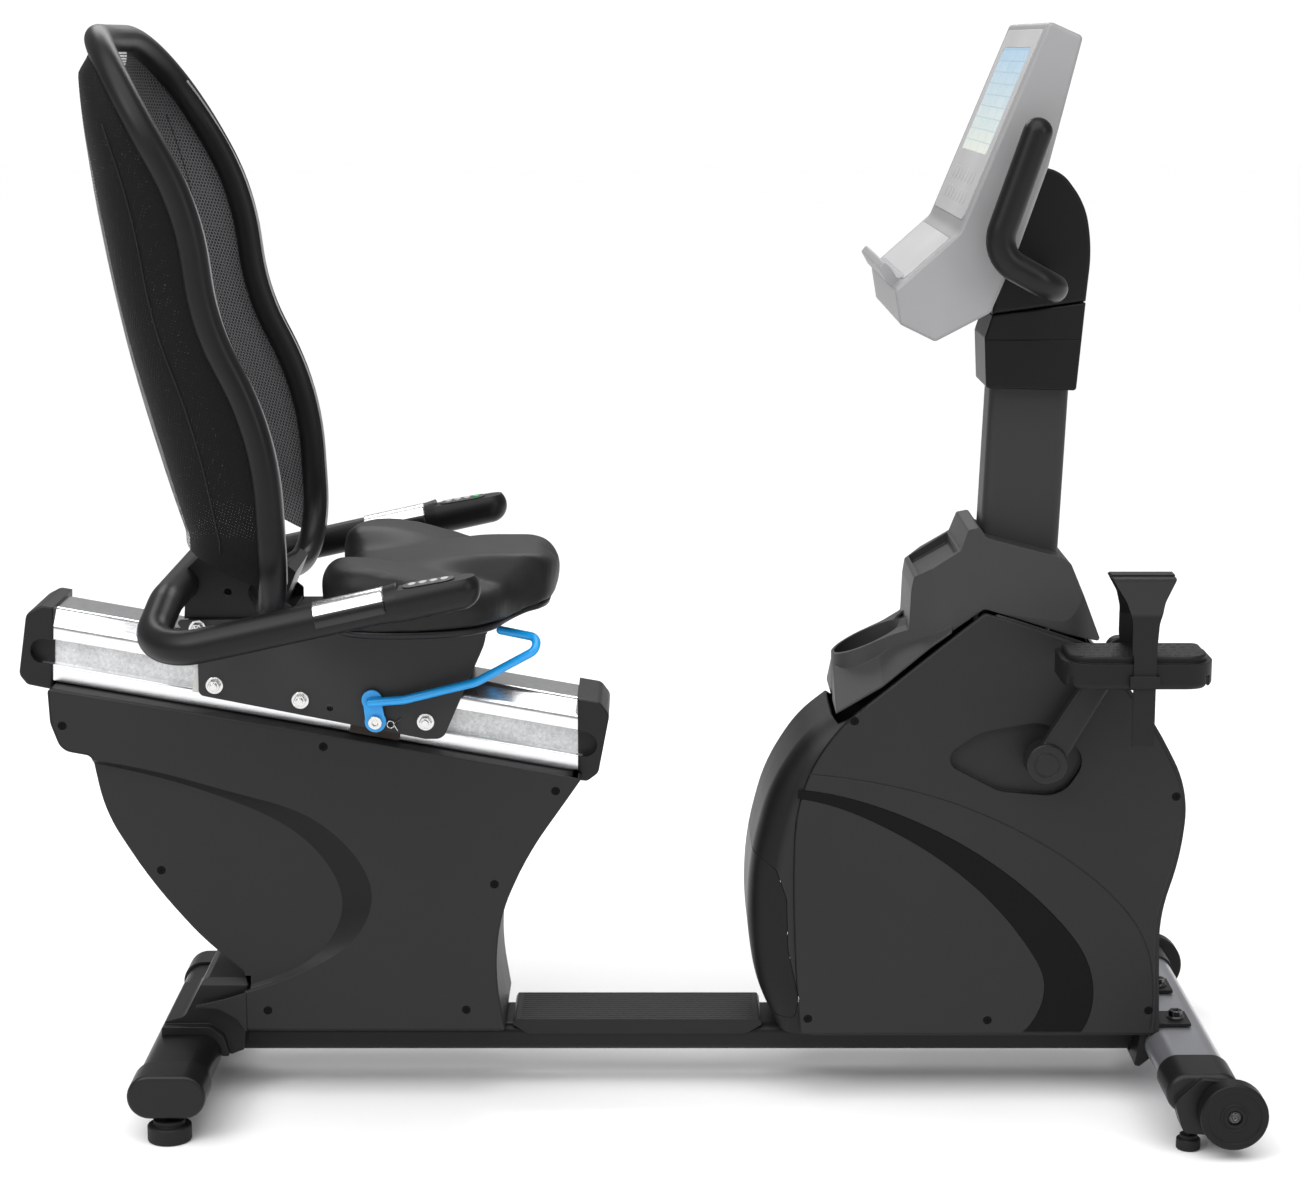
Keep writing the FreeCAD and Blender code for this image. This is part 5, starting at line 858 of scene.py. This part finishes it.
# %% Inflate the cushion as cloth
def inflate(piece, voxel, pressure, cap, frames):
    """Remesh, blow up as cloth with gravity off, and keep each point within a cap of where it was."""
    bpy.context.view_layer.objects.active = piece
    remesh = piece.modifiers.new("remesh", "REMESH")
    remesh.mode = "VOXEL"
    remesh.voxel_size = voxel
    graph = bpy.context.evaluated_depsgraph_get()
    settled = bpy.data.meshes.new_from_object(piece.evaluated_get(graph))
    piece.modifiers.clear()
    piece.data = settled
    start_points = np.array([v.co for v in settled.vertices])
    cloth = piece.modifiers.new("cloth", "CLOTH")
    cloth.settings.use_pressure = True
    cloth.settings.uniform_pressure_force = pressure
    cloth.settings.effector_weights.gravity = 0.0
    cloth.settings.quality = 4
    scene = bpy.context.scene
    for tick in range(1, frames + 1):
        scene.frame_set(tick)
    graph = bpy.context.evaluated_depsgraph_get()
    blown = piece.evaluated_get(graph).to_mesh()
    end_points = np.array([v.co for v in blown.vertices])
    piece.evaluated_get(graph).to_mesh_clear()
    piece.modifiers.clear()
    scene.frame_set(1)
    move = end_points - start_points
    size = np.linalg.norm(move, axis=1, keepdims=True)
    move *= np.minimum(1.0, cap / np.maximum(size, 1e-9))
    for vertex, point in zip(settled.vertices, start_points + move):
        vertex.co = point
    settled.update()
    print("inflated", len(settled.vertices), "points, largest move", round(float(size.max()) * 1000, 1), "mm")


inflate(cushion, 0.005, 4.0, 0.0035, 14)
smoothing = cushion.modifiers.new("ease", "SMOOTH")
smoothing.factor = 0.5
smoothing.iterations = 6
finer = cushion.modifiers.new("finer", "SUBSURF")
finer.levels = 1
finer.render_levels = 1
cushion.data.shade_smooth()
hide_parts("seat_cushion")

# %% [markdown]
# Under the skin is a shallow moulded pan. Only its rim shows, as a thin dark step over the carriage.

# %% Seat pan
PAN_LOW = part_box("seat_cushion")[0].z + 0.0002
pan_verts, pan_faces = [], []
levels = [(PAN_LOW, 0.034), (PAN_LOW, 0.024), (PAN_LOW + 0.003, 0.018), (PAN_LOW + 0.009, 0.016),
          (PAN_LOW + 0.011, 0.030)]
for z, inset in levels:
    for p in outline:
        flat = SEAT_MIDDLE + (p - SEAT_MIDDLE) * (1.0 - inset / (p - SEAT_MIDDLE).length)
        pan_verts.append(Vector((flat.x, flat.y, z + 0.010 * ease(-0.160, -0.100, p.x))))
for k in range(len(levels) - 1):
    for i in range(count):
        a, b = k * count + i, k * count + (i + 1) % count
        pan_faces.append((a, b, b + count, a + count))
pan_faces.append(tuple(range(count))[::-1])
pan_faces.append(tuple((len(levels) - 1) * count + i for i in range(count)))
make_piece("seat_pan", pan_verts, pan_faces, finishes["cap_plastic"], "carriage")

# %% [markdown]
# ## Small hardware
# The lever's return spring, the pods' oval keys and the pedals' studded treads are too small for the CAD model,
# but the eye expects them.


# %% Lever spring
def coil(centre, radius, turns, length, first_leg, last_leg):
    """Torsion spring about Y: coils between two straight legs."""
    line = [centre + Vector(first_leg)]
    steps = int(turns * 20)
    for k in range(steps + 1):
        turn = 2 * math.pi * turns * k / steps
        line.append(centre + Vector((radius * math.cos(turn), -length * k / steps, radius * math.sin(turn))))
    line.append(centre + Vector((0.0, -length, 0.0)) + Vector(last_leg))
    return line


spring_at = Vector((-0.306, -0.0815, 0.497))
tube_piece("lever_spring", coil(spring_at, 0.0045, 3.0, 0.0045, (0.013, 0.0, 0.008), (0.010, 0.0, -0.010)), 0.0008,
           finishes["bolt_zinc"], "carriage", 6)


# %% Studded pedal treads
def stud_field(name, node_name, body):
    low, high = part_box(node_name)
    verts, faces = [], []
    top = high.z - 0.0004
    for row in range(5):
        for column in range(13):
            x = low.x + 0.022 + column * (high.x - low.x - 0.044) / 12 + (0.0055 if row % 2 else 0.0) * 0.5
            y = low.y + 0.016 + row * (high.y - low.y - 0.032) / 4
            base = len(verts)
            for ring, (size, rise) in enumerate(((0.0048, 0.0), (0.0042, 0.0011), (0.0030, 0.0014))):
                for k in range(6):
                    turn = math.pi / 3 * k
                    verts.append((x + size * math.cos(turn), y + size * math.sin(turn), top - 0.0006 + rise))
            for ring in range(2):
                for k in range(6):
                    a, b = base + ring * 6 + k, base + ring * 6 + (k + 1) % 6
                    faces.append((a, b, b + 6, a + 6))
            faces.append(tuple(base + 12 + k for k in range(6)))
            faces.append(tuple(base + k for k in range(6))[::-1])
    return make_piece(name, verts, faces, finishes["pedal_plastic"], body, smooth=False)


for word in ("right", "left"):
    stud_field("tread_studs_" + word, "pedal_" + word, word + "_pedal")

# %% [markdown]
# ## Keys on the pods
# Each seat arm ends in a small film keypad with four oval key caps that stand a little proud. The last key on
# the left arm is green.

# %% Oval keys
key_finish = grained("key_grey", (0.42, 0.42, 0.43), 0.35, 1400.0, 0.05)
start_key_finish = grained("key_green", (0.03, 0.42, 0.10), 0.35, 1400.0, 0.05)
KEY_HALF = (0.0050, 0.0066)
KEY_SHARES = (0.18, 0.39, 0.60, 0.81)
key_low, key_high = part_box("pod_keypads")
key_tree = BVHTree.FromObject(frame["nodes"]["pod_keypads"], bpy.context.evaluated_depsgraph_get())


def oval_key(name, at, normal, material):
    """A flat oval button with a rounded rim, square to the film under it."""
    turn = Vector((0.0, 0.0, 1.0)).rotation_difference(normal).to_matrix()
    levels = [(1.0, -0.0011), (1.0, 0.0003), (0.86, 0.0006), (0.5, 0.0007)]
    verts, faces = [], []
    for size, rise in levels:
        for k in range(20):
            turning = 2 * math.pi * k / 20
            flat = Vector((KEY_HALF[0] * size * math.cos(turning), KEY_HALF[1] * size * math.sin(turning), rise))
            verts.append(at + turn @ flat)
    for ring in range(len(levels) - 1):
        for k in range(20):
            a, b = ring * 20 + k, ring * 20 + (k + 1) % 20
            faces.append((a, b, b + 20, a + 20))
    faces.append(tuple(range(20))[::-1])
    faces.append(tuple((len(levels) - 1) * 20 + k for k in range(20)))
    return make_piece(name, verts, faces, material, "carriage")


made = 0
for word, side in (("right", key_low.y + 0.015), ("left", key_high.y - 0.015)):
    for number, share in enumerate(KEY_SHARES):
        above = Vector((key_low.x + (key_high.x - key_low.x) * share, side, key_high.z + 0.05))
        at, normal, _, _ = key_tree.ray_cast(above, Vector((0.0, 0.0, -1.0)))
        if at is None:
            continue
        paint = start_key_finish if (word == "left" and number == len(KEY_SHARES) - 1) else key_finish
        oval_key("key_" + word + "_" + str(number + 1), at, normal, paint)
        made += 1
print("oval keys", made)

# %% [markdown]
# ## Floor
# A wide pale floor meets the white world far behind, so only the soft contact shadow shows.

# %% Floor
def floor_finish():
    material, tree, shader = start_material("studio_floor", Specular_IOR_Level=0.2)
    effect = place_group(tree, grain_group, Scale=60.0, Base_Roughness=0.6, Roughness_Spread=0.02)
    tone = tinted(tree, effect.outputs["Tone"], (0.90, 0.90, 0.90), (0.92, 0.92, 0.92))
    link(tree, tone, shader.inputs["Base Color"])
    link(tree, effect.outputs["Roughness"], shader.inputs["Roughness"])
    return material


floor_mesh = bpy.data.meshes.new("floor")
floor_mesh.from_pydata([(-30, -30, 0), (30, -30, 0), (30, 30, 0), (-30, 30, 0)], [], [(0, 1, 2, 3)])
floor = bpy.data.objects.new("floor", floor_mesh)
floor.location.z = -0.0002
floor.data.materials.append(floor_finish())
bpy.context.collection.objects.link(floor)
